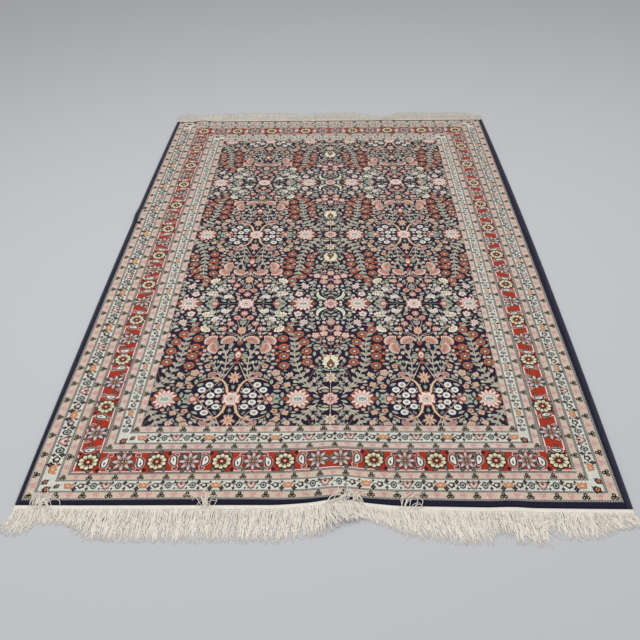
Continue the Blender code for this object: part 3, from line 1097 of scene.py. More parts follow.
def guard_corner(band, x_end, x_side, y_end, y_side):
    """Blossoms in one corner of a guard border, where its two rows leave room for them."""
    x, y = band_ends(band, y_side)[x_end], band_ends(band, x_side)[y_end]
    out_x, out_y = 2 * x_end - 1, 2 * y_end - 1
    clear_x = min(abs(place - x) for place, _ in guard_row(band, y_side)) - CORNER_CLEARANCE
    clear_y = min(abs(place - y) for place, _ in guard_row(band, x_side)) - CORNER_CLEARANCE
    layers = []
    for step_x, step_y, radius in CORNER_BLOSSOMS:
        if -step_x <= clear_x and -step_y <= clear_y:
            spot = (x + out_x * step_x, y + out_y * step_y)
            leaves = [("forest", oval(radius * 1.5, radius * 0.5, 6))]
            layers += placed(leaves, *spot, 40 * out_x * out_y)
            layers += placed(guard_blossom(radius, "orange", "ink"), *spot)
    return layers


def border_rosette(radius):
    """An ivory flower of ten petals with a dark red heart."""
    layers = nested(scallop(radius, 10, 0.10, 2), ("ink", 1.22))
    layers += ring_of("ivory", petal(radius * 0.58, radius * 0.50, 0.6, 3), 10, radius * 0.44)
    layers += ring_of("brown", tick(radius * 0.22, radius * 0.10), 10, radius * 0.50)
    heart = scallop(radius, 10, 0.16, 2, phase=math.pi / 10)
    layers += nested(heart, ("ink", 0.50), ("heart", 0.43))
    return layers + nested(oval(radius, radius, 6), ("deepred", 0.24), ("ivory", 0.14))


def border_star(radius, squeeze):
    """A star of eight pointed petals round a dark heart, narrower along the border."""
    half = [(0.16, -0.08), (0.50, -0.17), (0.74, -0.15)]
    blade = stretched(half + [(1, 0)] + [(x, -y) for x, y in half[::-1]], radius, radius)
    layers = []
    for dye, margin in (("ink", 3.0), ("lavender", 0.0)):
        layers += ring_of(dye, outset(blade, margin), 8, 0)
    layers += ring_of("palepink", tick(radius * 0.40, radius * 0.16), 8, radius * 0.46)
    layers += nested(scallop(radius, 8, 0.2, 2), ("ink", 0.46))
    for phase, dye in ((0.0, "straw"), (math.pi / 4, "orange")):
        layers += ring_of(dye, tick(radius * 0.24, radius * 0.13), 4, radius * 0.18, phase)
    layers += nested(oval(radius, radius, 6), ("heart", 0.20), ("sage", 0.11))
    return [(dye, stretched(shape, 1, squeeze)) for dye, shape in layers]


def paisley(length, width, flip):
    """A white drop, outlined twice, whose point bends to one side, with a green leaf inside it."""
    outline = []
    for x, y in oval(length / 2, width / 2, 10):
        back = max(0.0, -2 * x / length) ** 2
        outline.append((x, y * (1 - 0.3 * back) + flip * width * 0.45 * back))
    layers = [("pink", outset(outline, 6.0)), ("ink", outset(outline, 4.2)), ("white", outline)]
    return layers + [("forest", moved(tick(length * 0.5, width * 0.44), -length * 0.15, 0))]


def curl(size, flip):
    """A pink tendril that rolls in on itself, outlined."""
    route = [(0, 0), (0.5, 0.25), (0.85, 0.1), (0.8, -0.3), (0.45, -0.3), (0.5, -0.02)]
    route = stretched(route, size, size * flip)
    return [("ink", ribbon(route, 8.4, 3)), ("pink", ribbon(route, 4.0, 3, 0.8))]


def outlined_leaf(length, width, turn):
    """A green leaf with a dark outline."""
    blade = leaf(length, width, 0.4)
    return placed([("ink", outset(blade, 2.8)), ("forest", blade)], 0, 0, turn)


def paisley_group(side, middle, scale, face, way, starts):
    """A paisley between a rosette and a star, with the curls, stud and leaves round it.

    The curls are on the inner (1) or outer (-1) side of the border, which `face` says.
    """
    # Along two of the sides, the motif's own +Y runs the other way, so turns change sign.
    hand = way * (-1 if side in ("near", "right") else 1)
    ahead, back = (0, 180) if face > 0 else (180, 0)
    stud = nested(star(8 * scale, 4, 0.62), ("ink", 1.0), ("navy", 0.8))
    white_drop = placed(paisley(34 * scale, 16 * scale, -hand * face), 0, 0, back)
    group = [
        (placed(curl(27 * scale, -hand), 0, 0, ahead), "rosette", 56, 7, 0),
        (placed(curl(22 * scale, hand), 0, 0, back), "star", -37, -11, 0),
        ([("club", oval(4.5 * scale, 4.5 * scale, 5))], "star", -26, 24, 0),
        (white_drop, "rosette", 46, 0, -face * 3),
        (stud, "rosette", 32, -29, 0),
    ]
    for length, width, turn, *place in PAISLEY_LEAVES:
        group.append((outlined_leaf(length * scale, width * scale, turn * hand), *place))
    layers = []
    for motif, start, along, inward, shift in group:
        along = starts[start] + way * along * scale
        layers += on_side(motif, side, along, middle + face * inward * scale + shift)
    return layers


def pale_line(side, middle, across, start, stop):
    """A straight piece of the pale line, between two places across a side and two along it."""
    low, high = sorted(across)
    half = abs(stop - start) / 2 + LINE_HALF
    line = box_shape(low - LINE_HALF, -half, high + LINE_HALF, half)
    return on_side([("white", line)], side, (start + stop) / 2, middle)


def scroll_lines(side, rosettes, facing, width, middle):
    """The pale lines just inside the edges of the main border.

    The line lies whole on the side the curls of a star are on, and between brackets on the other.
    """
    layers = []
    straight = width / 2 - LINE_INSET
    count = len(rosettes) - 1
    for k, (a, b) in enumerate(zip(rosettes, rosettes[1:])):
        for edge in (-1, 1):
            across = edge * straight
            low = a + across if k == 0 else a
            high = b - across if k == count - 1 else b
            if edge == facing[k]:
                layers += pale_line(side, middle, (across, across), low, high)
                continue
            inside = across - edge * BRACKET_DEPTH
            for end, way, last in ((low, 1, k == 0), (high, -1, k == count - 1)):
                bend = end + way * BRACKET_BACK
                bend = max(bend, a + BRACKET_BACK) if way > 0 else min(bend, b - BRACKET_BACK)
                layers += pale_line(side, middle, (across, inside), bend, bend)
                layers += pale_line(side, middle, (inside, inside), bend - way * BRACKET_FOOT, bend)
                if last:
                    stop = bend - way * 2 * BRACKET_FOOT
                    layers += pale_line(side, middle, (across, across), end, stop)
            start, stop = a + BRACKET_BACK, b - BRACKET_BACK
            layers += pale_line(side, middle, (across, across), start, stop)
    return layers


def red_side(side, rosettes):
    """One side of the main border: rosettes and stars in turn, with paisleys between them."""
    width, middle = band_width(RED_BAND, side), band_middle(RED_BAND, side)
    scale = width / RED_WIDTH
    bloom = max(scale, SMALLEST_BLOOM)
    facing = [-1 if k % 2 else 1 for k in range(len(rosettes) - 1)]
    layers = scroll_lines(side, rosettes, facing, width, middle)
    for face, a, b in zip(facing, rosettes, rosettes[1:]):
        centre = (a + b) / 2
        stars, squeeze = [centre], min(LONE_SQUEEZE, (b - a) / LONE_STAR_GAP)
        if b - a >= STAR_PAIR_GAP:
            stars, squeeze = [centre - STAR_APART, centre + STAR_APART], STAR_SQUEEZE
            blade = leaf(24 * scale, 9 * scale)
            cross = [("forest", turned(blade, (k + 0.5) * math.pi / 2)) for k in range(4)]
            layers += on_side(cross, side, centre, middle)
        for way, rosette, spot in ((1, a, stars[0]), (-1, b, stars[-1])):
            starts = {"rosette": rosette, "star": spot}
            layers += paisley_group(side, middle, scale, face, way, starts)
        for spot in stars:
            layers += on_side(border_star(STAR_RADIUS * bloom, squeeze), side, spot, middle)
    for stop in rosettes if side in ("near", "far") else rosettes[1:-1]:
        layers += on_side(border_rosette(ROSETTE_RADIUS * bloom), side, stop, middle)
    return layers


def middle_line(band):
    """A plain line down the middle of a beaded one."""
    rings = []
    for dye, share in (("linen", 0.34), ("bead", 0.66)):
        near, far, left, right = (
            between(reach(band - 1, side), reach(band, side), share) for side in SIDES
        )
        rings.append((dye, box_shape(-HALF_MM + left, near, HALF_MM - right, LENGTH_MM - far)))
    return rings


def borders():
    """All layers of the borders, the outermost band first."""
    layers = []
    for band, (dye, *_) in enumerate(BANDS):
        layers.append((dye, band_outline(band)))
        if band in LINE_BANDS:
            layers += middle_line(band)
    for band in STRIPE_BANDS:
        layers += stripe(band)
    for band in GUARD_BANDS:
        layers += guard(band)
    for side in ("left", "right"):
        layers += red_side(side, SIDE_ROSETTES)
    return layers + red_side("near", NEAR_ROSETTES) + red_side("far", FAR_ROSETTES)


# Meshes


def new_piece(name, points, faces, material, dyes=(), uv_name="", uvs=()):
    """A smooth mesh piece that rides on the rug, with a dye for each face and a UV for each corner
    where they are given.
    """
    mesh = bpy.data.meshes.new(name)
    mesh.from_pydata(points, [], faces)
    if uvs:
        mesh.uv_layers.new(name=uv_name).data.foreach_set("uv", uvs)
    if dyes:
        colours = [value for face, dye in zip(faces, dyes) for value in dye * len(face)]
        attribute = mesh.color_attributes.new("dye", "FLOAT_COLOR", "CORNER")
        attribute.data.foreach_set("color", colours)
    mesh.polygons.foreach_set("use_smooth", [True] * len(faces))
    mesh.materials.append(material)
    mesh.update()
    piece = bpy.data.objects.new(name, mesh)
    bpy.context.scene.collection.objects.link(piece)
    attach(piece, "root")
    return piece


def linear(value):
    """An sRGB hex value as linear red, green, blue and alpha."""
    channels = [int(value[k:k + 2], 16) / 255 for k in (1, 3, 5)]
    red, green, blue = (
        c / 12.92 if c <= 0.04045 else ((c + 0.055) / 1.055) ** 2.4 for c in channels
    )
    return red, green, blue, 1.0


# How the weave departs from a square one, in millimetres. The outer bands of the near end are
# shifted towards the field: place across, shift there. The corners draw out to the sides, and the
# lines of the near end run nearer the edge at the left than at the right. Each departure rises
# from nothing on the edge and fades away again.
NEAR_SHIFTS = (
    (-850, 3), (-400, 1), (-150, -3), (0, -12), (60, -15),
    (150, -9), (250, -6), (400, -9), (700, -12), (850, -13),
)
SHIFT_FADE = 90.0
CORNER_PULL_LEFT = 8.0
CORNER_PULL_RIGHT = 12.0
PULL_FADE = 180.0
SKEW = 11.5
SKEW_FADE = 640.0
EDGE_RISE = 20.0

# Longest edge of the pattern's mesh, the share by which a run of edges may bend and still be one
# line, and how near two points may be before they are taken as one.
GRID_STEP = 20.0
STRAIGHTNESS = 0.02
MERGE = 1e-3


def eased(distance, fade):
    """How much of a departure is left at a distance from an edge."""
    if distance < EDGE_RISE:
        return distance / EDGE_RISE
    return max(0.0, 1 - (distance - EDGE_RISE) / fade)


def near_shift(x):
    """How far the outer bands of the near end are shifted at a place across it."""
    for (a, low), (b, high) in zip(NEAR_SHIFTS, NEAR_SHIFTS[1:]):
        if x <= b:
            return between(low, high, max(0.0, (x - a) / (b - a)))
    return NEAR_SHIFTS[-1][1]


def design_point(x, y, height):
    """Where a point of the flat design, in millimetres, lies on the rug."""
    y += SKEW * x / HALF_MM * eased(y, SKEW_FADE) + near_shift(x) * eased(y, SHIFT_FADE)
    side, pull = (-1, CORNER_PULL_LEFT) if x < 0 else (1, CORNER_PULL_RIGHT)
    pull *= (1 - 2 * y / LENGTH_MM) ** 2
    half = HALF_MM - BINDING_WIDTH / MM - GAP / MM
    x += side * pull * eased(half - abs(x), PULL_FADE)
    return body_point(x / half, y / (LENGTH_MM / 2) - 1, height)


def edge_pairs(face):
    """The directed edges of a face."""
    return zip(face, face[1:] + face[:1])


def topmost_dyes(layers, low_x, low_y, high_x, high_y):
    """Every shape of a design cut by every other, as points and the dye on the left of each
    directed edge of the cut. Outside the box no dye shows.
    """
    points, outlines, dyes = [], [], []
    for dye, shape in layers:
        xs, ys = zip(*shape)
        if max(xs) <= low_x or min(xs) >= high_x or max(ys) <= low_y or min(ys) >= high_y:
            continue
        outlines.append(list(range(len(points), len(points) + len(shape))))
        points += shape
        dyes.append(dye)
    first = len(points)
    points += box_shape(low_x, low_y, high_x, high_y)
    edges = [(first + k, first + (k + 1) % 4) for k in range(4)]
    points = [Vector(point) for point in points]
    places, _, triangles, _, _, sources = delaunay_2d_cdt(points, edges, outlines, 0, MERGE, True)
    left = {}
    for triangle, source in zip(triangles, sources):
        x = sum(places[k][0] for k in triangle) / 3
        y = sum(places[k][1] for k in triangle) / 3
        if low_x < x < high_x and low_y < y < high_y:
            dye = dyes[max(source)] if source else "navy"
            for pair in edge_pairs(triangle):
                left[pair] = dye
    return places, left


def colour_lines(places, left):
    """The edges where two dyes meet, with a point in a straight run left out."""
    sides, meets = {}, {}
    for (a, b), dye in left.items():
        other = left.get((b, a))
        if dye != other:
            sides[a, b], sides[b, a] = dye, other
            meets.setdefault(a, set()).add(b)
            meets.setdefault(b, set()).add(a)
    for middle, ends in list(meets.items()):
        if len(ends) != 2:
            continue
        a, b = ends
        before, after = places[middle] - places[a], places[b] - places[middle]
        bent = abs(before.cross(after)) >= STRAIGHTNESS * before.length * after.length
        if bent or before.dot(after) <= 0 or (a, b) in sides:
            continue
        if sides[a, middle] != sides[middle, b] or sides[b, middle] != sides[middle, a]:
            continue
        sides[a, b], sides[b, a] = sides.pop((a, middle)), sides.pop((middle, a))
        del sides[middle, b], sides[b, middle], meets[middle]
        meets[a].remove(middle)
        meets[b].remove(middle)
        meets[a].add(b)
        meets[b].add(a)
    return {pair: (dye, sides[pair[::-1]]) for pair, dye in sides.items() if pair[0] < pair[1]}


def cut_design(layers, low_x, low_y, high_x, high_y):
    """The part of a design inside a box, as points, triangles and the dye of each triangle.

    Long edges are divided and a grid of points is added, so that the triangles follow the folds.
    """
    places, left = topmost_dyes(layers, low_x, low_y, high_x, high_y)
    points, edges, dyes = [], [], []
    index = {}
    for (a, b), pair in colour_lines(places, left).items():
        start, stop = places[a], places[b]
        count = max(1, math.ceil((stop - start).length / GRID_STEP))
        run = [index.setdefault(a, len(points))]
        if run[0] == len(points):
            points.append(start)
        for k in range(1, count):
            run.append(len(points))
            points.append(start.lerp(stop, k / count))
        run.append(index.setdefault(b, len(points)))
        if run[-1] == len(points):
            points.append(stop)
        edges += zip(run, run[1:])
        dyes += [pair] * count
    columns = max(1, round((high_x - low_x) / GRID_STEP))
    rows = max(1, round((high_y - low_y) / GRID_STEP))
    for i in range(1, columns):
        for j in range(1, rows):
            x, y = between(low_x, high_x, i / columns), between(low_y, high_y, j / rows)
            points.append(Vector((x, y)))
    places, found, triangles, _, kept, _ = delaunay_2d_cdt(points, edges, [], 0, MERGE, True)
    lines = {frozenset(pair): source[0] for pair, source in zip(found, kept) if source}
    around = {}
    for face, triangle in enumerate(triangles):
        for pair in edge_pairs(triangle):
            around.setdefault(frozenset(pair), []).append(face)
    tops = [None] * len(triangles)
    for pair, source in lines.items():
        start, stop = (points[k] for k in edges[source])
        for face in around.get(pair, ()):
            middle = sum((places[k] for k in triangles[face]), Vector((0, 0))) / 3
            tops[face] = dyes[source][0 if (stop - start).cross(middle - start) > 0 else 1]
    waiting = [face for face, dye in enumerate(tops) if dye]
    while waiting:
        face = waiting.pop()
        for pair in map(frozenset, edge_pairs(triangles[face])):
            for other in () if pair in lines else around[pair]:
                if tops[other] is None:
                    tops[other] = tops[face]
                    waiting.append(other)
    tops = [dye or "navy" for dye in tops]
    return [tuple(place) for place in places], [list(triangle) for triangle in triangles], tops


def design_piece(name, parts, material):
    """Pattern pile made of cut parts, each one already in the millimetres of the whole design."""
    points, faces, tops = [], [], []
    for places, triangles, dyes in parts:
        first = len(points)
        points += places
        faces += [[first + k for k in triangle] for triangle in triangles]
        tops += dyes
    uvs = stacked_uv(points, faces)
    height = bpy.context.scene.rug_sizes.pattern_height
    laid = [design_point(x, y, height) for x, y in points]
    yarns = yarn_colours()
    return new_piece(name, laid, faces, material, [yarns[dye] for dye in tops], "OFBake", uvs)


UV_RIM = 0.02
UV_SPAN = 0.96


def stacked_uv(points, faces):
    """A UV for each corner that folds a long strip into lanes side by side, to use a square
    texture well. A face keeps to the lane of its middle.
    """
    xs, ys = zip(*points)
    low_x, low_y = min(xs), min(ys)
    width, length = max(xs) - low_x, max(ys) - low_y
    flip = width > length
    short, long = (length, width) if flip else (width, length)
    lanes = max(1, round(math.sqrt(long / short)))
    lane_length = long / lanes
    uvs = []
    for face in faces:
        spots = [(points[k][0] - low_x, points[k][1] - low_y) for k in face]
        if flip:
            spots = [(y, x) for x, y in spots]
        lane = min(lanes - 1, int(sum(y for _, y in spots) / len(spots) / lane_length))
        for x, y in spots:
            along = (y - lane * lane_length) / lane_length
            uvs += [(lane + UV_RIM + UV_SPAN * x / short) / lanes, UV_RIM + UV_SPAN * along]
    return uvs


def yarn_colours():
    """Each yarn's linear colour. The beaded lines are marked by an alpha of 0."""
    dyes = bpy.context.scene.rug_dyes
    return {key: (*getattr(dyes, key), 0.0 if key == "bead" else 1.0) for key, *_ in YARNS}


# Where the half repeat falls: axis of the crown palmettes at mid length and how much it leans over
# the length, widths of the half repeats from left to right, and the rows, a palmette row and a
# ring row in turn, with the squeezed starts and ends of the field.
AXIS = 17.0
AXIS_LEAN = -0.0085
HALF_REPEATS = (311.0, 313.0, 307.0, 300.0)
ROWS = (400.0, 886.0, 1357.0, 1811.0, 2260.0)
NEAR_SQUEEZE = 0.92
FAR_SQUEEZE = 0.90
FIELD_LEFT = -HALF_MM + reach(FIELD_BAND, "left")
FIELD_RIGHT = HALF_MM - reach(FIELD_BAND, "right")


def field_columns():
    """Each column of half repeats: its axis, direction, width and the lowest u that shows."""
    outer_left, left, right, outer_right = HALF_REPEATS
    first, last = AXIS - left - outer_left, AXIS + right + outer_right
    return (
        (first, 1, outer_left, (FIELD_LEFT - first) * HALF_U / outer_left),
        (AXIS, -1, left, 0.0),
        (AXIS, 1, right, 0.0),
        (last, -1, outer_right, (last - FIELD_RIGHT) * HALF_U / outer_right),
    )


def field_rows():
    """Each row of half repeats: y of its palmette line, scale and direction, and the range of v."""
    near, far = reach(FIELD_BAND, "near"), LENGTH_MM - reach(FIELD_BAND, "far")
    rows = [(ROWS[0], -NEAR_SQUEEZE, (ROWS[0] - near) / NEAR_SQUEEZE)]
    for index, (a, b) in enumerate(zip(ROWS, ROWS[1:])):
        scale = (b - a) / HALF_V
        rows.append((b, -scale, HALF_V) if index % 2 else (a, scale, HALF_V))
    rows.append((ROWS[-1], FAR_SQUEEZE, (far - ROWS[-1]) / FAR_SQUEEZE))
    return rows


def field_column_parts(layers, axis, direction, width, low_u, cuts):
    """The cut parts of one column of the field, leaning most at the middle of the field."""
    middle, half = (FIELD_LEFT + FIELD_RIGHT) / 2, (FIELD_RIGHT - FIELD_LEFT) / 2
    parts = []
    for start, step, high_v in field_rows():
        key = (round(low_u, 3), round(high_v, 3))
        if key not in cuts:
            cuts[key] = cut_design(layers, low_u, 0.0, HALF_U, high_v)
        places, triangles, dyes = cuts[key]
        leaning = []
        for u, v in places:
            x, y = axis + direction * u * width / HALF_U, start + step * v
            lean = AXIS_LEAN * (y - LENGTH_MM / 2) * (1 - ((x - middle) / half) ** 2)
            leaning.append((x + lean, y))
        if direction * step < 0:
            triangles = [triangle[::-1] for triangle in triangles]
        parts.append((leaning, triangles, dyes))
    return parts


# Materials. Each function fills a new node tree and returns its shader, and its name is the
# material's. Colours are sRGB values, and sizes of the patterns are in metres.

BEAD_LIGHT = "#C4C2B6"
OVERCAST_DARK = "#1F1F31"
OVERCAST_LIGHT = "#34344A"
STRING_DARK = "#E8E0D4"
STRING_LIGHT = "#FBF5EB"
STRIP_DARK = "#E6DED2"
STRIP_LIGHT = "#FAF4EA"
FLOOR_GREY = "#BFC1C5"
MIX_FACTOR, MIX_A, MIX_B = 0, 6, 7
BEAD_START = 0.72
FLECK = 0.007
DYE_LOTS = (0.9, 16.0, 1.0)
BACK_DEPTH = 0.30
BACK_FLOWER = 0.030
BACK_FLOWER_SHARE = 0.40
BACK_WEFT = 0.0024
YARN_WEAR = 0.012
YARN_FIBRE = 0.0009
STRING_TONE = 0.020
STRIP_TONE = 0.010
STRIP_WARP = 0.0035
STRIP_WEFT = 0.0020


def add_node(tree, kind, inputs, **settings):
    """A node with its settings. An input takes a value, an output, or a node's own output."""
    node = tree.nodes.new("ShaderNode" + kind)
    for key, value in settings.items():
        setattr(node, key, value)
    for key, value in inputs.items():
        if isinstance(value, bpy.types.Node):
            value = next(output for output in value.outputs if output.enabled)
        if isinstance(value, bpy.types.NodeSocket):
            tree.links.new(value, node.inputs[key])
        else:
            node.inputs[key].default_value = value
    return node


def finished(finish):
    """The material of a finish, made once."""
    material = bpy.data.materials.get(finish.__name__)
    if not material:
        material = bpy.data.materials.new(finish.__name__)
        material.use_nodes = True
        tree = material.node_tree
        tree.nodes.clear()
        add_node(tree, "OutputMaterial", {"Surface": finish(tree)})
    return material


def pile_shade(tree, place):
    """Factor on the dye from single knots, flecks in the yarn and the bands of a fresh dye lot."""
    knots = add_node(tree, "TexVoronoi", {
        "Vector": place, "Scale": 1 / bpy.context.scene.rug_sizes.knot_pitch, "Randomness": 0.55,
    })
    knot = add_node(tree, "SeparateColor", {"Color": knots.outputs["Color"]})
    knot = add_node(tree, "MapRange", {"Value": knot, "To Min": 0.84, "To Max": 1.12})
    flecks = add_node(tree, "TexNoise", {"Vector": place, "Scale": 1 / FLECK, "Detail": 3.0})
    flecks = add_node(tree, "MapRange", {
        "Value": flecks, "From Min": 0.3, "From Max": 0.7, "To Min": 0.90, "To Max": 1.08,
    })
    across = add_node(tree, "VectorMath", {0: place, 1: DYE_LOTS}, operation="MULTIPLY")
    lots = add_node(tree, "TexNoise", {"Vector": across, "Scale": 1.6, "Detail": 2.0})
    lots = add_node(tree, "MapRange", {
        "Value": lots, "From Min": 0.3, "From Max": 0.7, "To Min": 0.94, "To Max": 1.06,
    })
    shade = add_node(tree, "Math", {0: knot, 1: flecks}, operation="MULTIPLY")
    return add_node(tree, "Math", {0: shade, 1: lots}, operation="MULTIPLY"), knots


def sheared_wool_pile(tree):
    """Hand-knotted wool, cut level: matt, with a soft bloom at low angles and a grain of knots."""
    place = add_node(tree, "TexCoord", {}).outputs["Object"]
    dye = add_node(tree, "Attribute", {}, attribute_name="dye")
    shade, knots = pile_shade(tree, place)
    # The beaded lines: a light knot at every step along the sum of x and y.
    axes = add_node(tree, "SeparateXYZ", {"Vector": place})
    run = add_node(tree, "Math", {0: axes.outputs["X"], 1: axes.outputs["Y"]}, operation="ADD")
    pitch = bpy.context.scene.rug_sizes.bead_pitch
    run = add_node(tree, "Math", {0: run, 1: pitch}, operation="DIVIDE")
    run = add_node(tree, "Math", {0: run}, operation="FRACT")
    light = add_node(tree, "Math", {0: run, 1: BEAD_START}, operation="GREATER_THAN")
    light = add_node(
        tree, "Math", {0: light, 1: dye.outputs["Alpha"]}, operation="SUBTRACT", use_clamp=True,
    )
    beads = add_node(tree, "Mix", {
        MIX_FACTOR: light, MIX_A: dye.outputs["Color"], MIX_B: linear(BEAD_LIGHT),
    }, data_type="RGBA")
    yarn = add_node(tree, "VectorMath", {0: beads, "Scale": shade}, operation="SCALE")
    bumps = add_node(
        tree, "Bump", {"Height": knots, "Strength": 0.45, "Distance": 0.0006}, invert=True,
    )
    return add_node(tree, "BsdfPrincipled", {
        "Base Color": yarn, "Roughness": 0.92, "Specular IOR Level": 0.12,
        "Sheen Weight": 0.20, "Sheen Roughness": 0.35, "Normal": bumps,
    })


def set_steps(ramp, steps):
    """Fill a ramp with plain steps of dye, each one from its position on."""
    yarns = {key: linear(value) for key, _, _, value in YARNS}
    ramp.interpolation = "CONSTANT"
    ramp.elements.remove(ramp.elements[1])
    ramp.elements[0].color = yarns[steps[0][1]]
    for position, dye in steps[1:]:
        ramp.elements.new(position).color = yarns[dye]


def woven_wool_back(tree):
    """The back of the knots: the same bands and field, flatter and duller, with rows of weft."""
    place = add_node(tree, "TexCoord", {}).outputs["Object"]
    size = add_node(tree, "VectorMath", {0: place}, operation="ABSOLUTE")
    corner = (HALF_WIDTH, HALF_LENGTH, 0)
    inward = add_node(tree, "VectorMath", {0: corner, 1: size}, operation="SUBTRACT")
    inward = add_node(tree, "SeparateXYZ", {"Vector": inward})
    nearest = {0: inward.outputs["X"], 1: inward.outputs["Y"]}
    depth = add_node(tree, "Math", nearest, operation="MINIMUM")
    share = add_node(tree, "Math", {0: depth, 1: BACK_DEPTH}, operation="DIVIDE")
    bands = add_node(tree, "ValToRGB", {"Fac": share})
    shown = (*STRIPE_BANDS, *GUARD_BANDS, RED_BAND)
    steps = [(reach(band - 1, "near") * MM / BACK_DEPTH, BANDS[band][0]) for band in shown]
    field = (reach(FIELD_BAND, "near") * MM / BACK_DEPTH, "navy")
    set_steps(bands.color_ramp, [(0.0, "navy"), *steps, field])
    cells = add_node(tree, "TexVoronoi", {"Vector": place, "Scale": 1 / BACK_FLOWER})
    flower = add_node(tree, "Math", {0: cells, 1: BACK_FLOWER_SHARE}, operation="LESS_THAN")
    pick = add_node(tree, "SeparateColor", {"Color": cells.outputs["Color"]})
    flowers = add_node(tree, "ValToRGB", {"Fac": pick})
    palette = ((0.0, "sage"), (0.38, "rust"), (0.56, "pink"), (0.70, "peach"), (0.84, "cream"))
    set_steps(flowers.color_ramp, palette)
    design = {MIX_FACTOR: flower, MIX_A: bands, MIX_B: flowers}
    design = add_node(tree, "Mix", design, data_type="RGBA")
    shade, _ = pile_shade(tree, place)
    yarn = add_node(tree, "VectorMath", {0: design, "Scale": shade}, operation="SCALE")
    rows = {"Vector": place, "Scale": 1 / BACK_WEFT / math.tau}
    rows = add_node(tree, "TexWave", rows, bands_direction="Y").outputs["Fac"]
    bumps = add_node(tree, "Bump", {"Height": rows, "Strength": 0.5, "Distance": 0.0005})
    return add_node(tree, "BsdfPrincipled", {
        "Base Color": yarn, "Roughness": 0.95, "Specular IOR Level": 0.2, "Normal": bumps,
    })


def overcast_wool_yarn(tree):
    """Two-ply wool wrapped over the side cords: dark, softly ribbed, a little fuzzy."""
    place = add_node(tree, "TexCoord", {}).outputs["Object"]
    wear = add_node(tree, "TexNoise", {"Vector": place, "Scale": 1 / YARN_WEAR, "Detail": 4.0})
    dyed = {MIX_FACTOR: wear, MIX_A: linear(OVERCAST_DARK), MIX_B: linear(OVERCAST_LIGHT)}
    dyed = add_node(tree, "Mix", dyed, data_type="RGBA")
    fibres = add_node(tree, "TexNoise", {"Vector": place, "Scale": 1 / YARN_FIBRE, "Detail": 2.0})
    bumps = add_node(tree, "Bump", {"Height": fibres, "Strength": 0.3, "Distance": 0.0004})
    return add_node(tree, "BsdfPrincipled", {
        "Base Color": dyed, "Roughness": 0.88, "Specular IOR Level": 0.25,
        "Sheen Weight": 0.25, "Sheen Roughness": 0.4, "Normal": bumps,
    })


def twisted_cotton_string(tree):
    """Undyed plied cotton: warm off-white strings whose twist catches the light."""
    coordinates = add_node(tree, "TexCoord", {})
    place = coordinates.outputs["Object"]
    tones = add_node(tree, "TexNoise", {"Vector": place, "Scale": 1 / STRING_TONE, "Detail": 3.0})
    cotton = {MIX_FACTOR: tones, MIX_A: linear(STRING_DARK), MIX_B: linear(STRING_LIGHT)}
    cotton = add_node(tree, "Mix", cotton, data_type="RGBA")
    # The UV turns once round the string and once per twist, so their sum follows the plies.
    turns = add_node(tree, "SeparateXYZ", {"Vector": coordinates.outputs["UV"]})
    turns = {0: turns.outputs["X"], 1: turns.outputs["Y"]}
    twist = add_node(tree, "Math", turns, operation="ADD")
    twist = add_node(tree, "Math", {0: twist, 1: math.tau}, operation="MULTIPLY")
    twist = add_node(tree, "Math", {0: twist}, operation="SINE")
    bumps = add_node(tree, "Bump", {"Height": twist, "Strength": 0.6, "Distance": 0.0003})
    return add_node(tree, "BsdfPrincipled", {
        "Base Color": cotton, "Roughness": 0.85, "Specular IOR Level": 0.3,
        "Sheen Weight": 0.15, "Normal": bumps,
    })


def flat_woven_cotton(tree):
    """Flat-woven cotton ends: close weft rows over warps, matt and pale."""
    place = add_node(tree, "TexCoord", {}).outputs["Object"]
    tones = add_node(tree, "TexNoise", {"Vector": place, "Scale": 1 / STRIP_TONE, "Detail": 3.0})
    cotton = {MIX_FACTOR: tones, MIX_A: linear(STRIP_DARK), MIX_B: linear(STRIP_LIGHT)}
    cotton = add_node(tree, "Mix", cotton, data_type="RGBA")
    threads = []
    for pitch, direction in ((STRIP_WARP, "X"), (STRIP_WEFT, "Y")):
        rows = {"Vector": place, "Scale": 1 / pitch / math.tau * math.pi}
        threads.append(add_node(tree, "TexWave", rows, bands_direction=direction).outputs["Fac"])
    weave = add_node(tree, "Math", {0: threads[0], 1: threads[1]}, operation="ADD")
    bumps = add_node(tree, "Bump", {"Height": weave, "Strength": 0.5, "Distance": 0.0006})
    return add_node(tree, "BsdfPrincipled", {
        "Base Color": cotton, "Roughness": 0.9, "Specular IOR Level": 0.25, "Normal": bumps,
    })


def matt_studio_floor(tree):
    """Matt seamless studio paper: plain and pale, no gloss."""
    return add_node(tree, "BsdfPrincipled", {
        "Base Color": linear(FLOOR_GREY), "Roughness": 0.95, "Specular IOR Level": 0.1,
    })


# Tubes and threads

TWIST_LENGTH = 0.006


def skin(rings, ring, inward=False):
    """Faces round and along a row of rings of points, and a cap at each end."""
    faces = []
    for first in range(0, (rings - 1) * ring, ring):
        for k in range(ring):
            a, b = first + k, first + (k + 1) % ring
            faces.append([a, a + ring, b + ring, b] if inward else [a, b, b + ring, a + ring])
    start, stop = list(range(ring)), list(range((rings - 1) * ring, rings * ring))
    return faces + ([start, stop[::-1]] if inward else [start[::-1], stop])


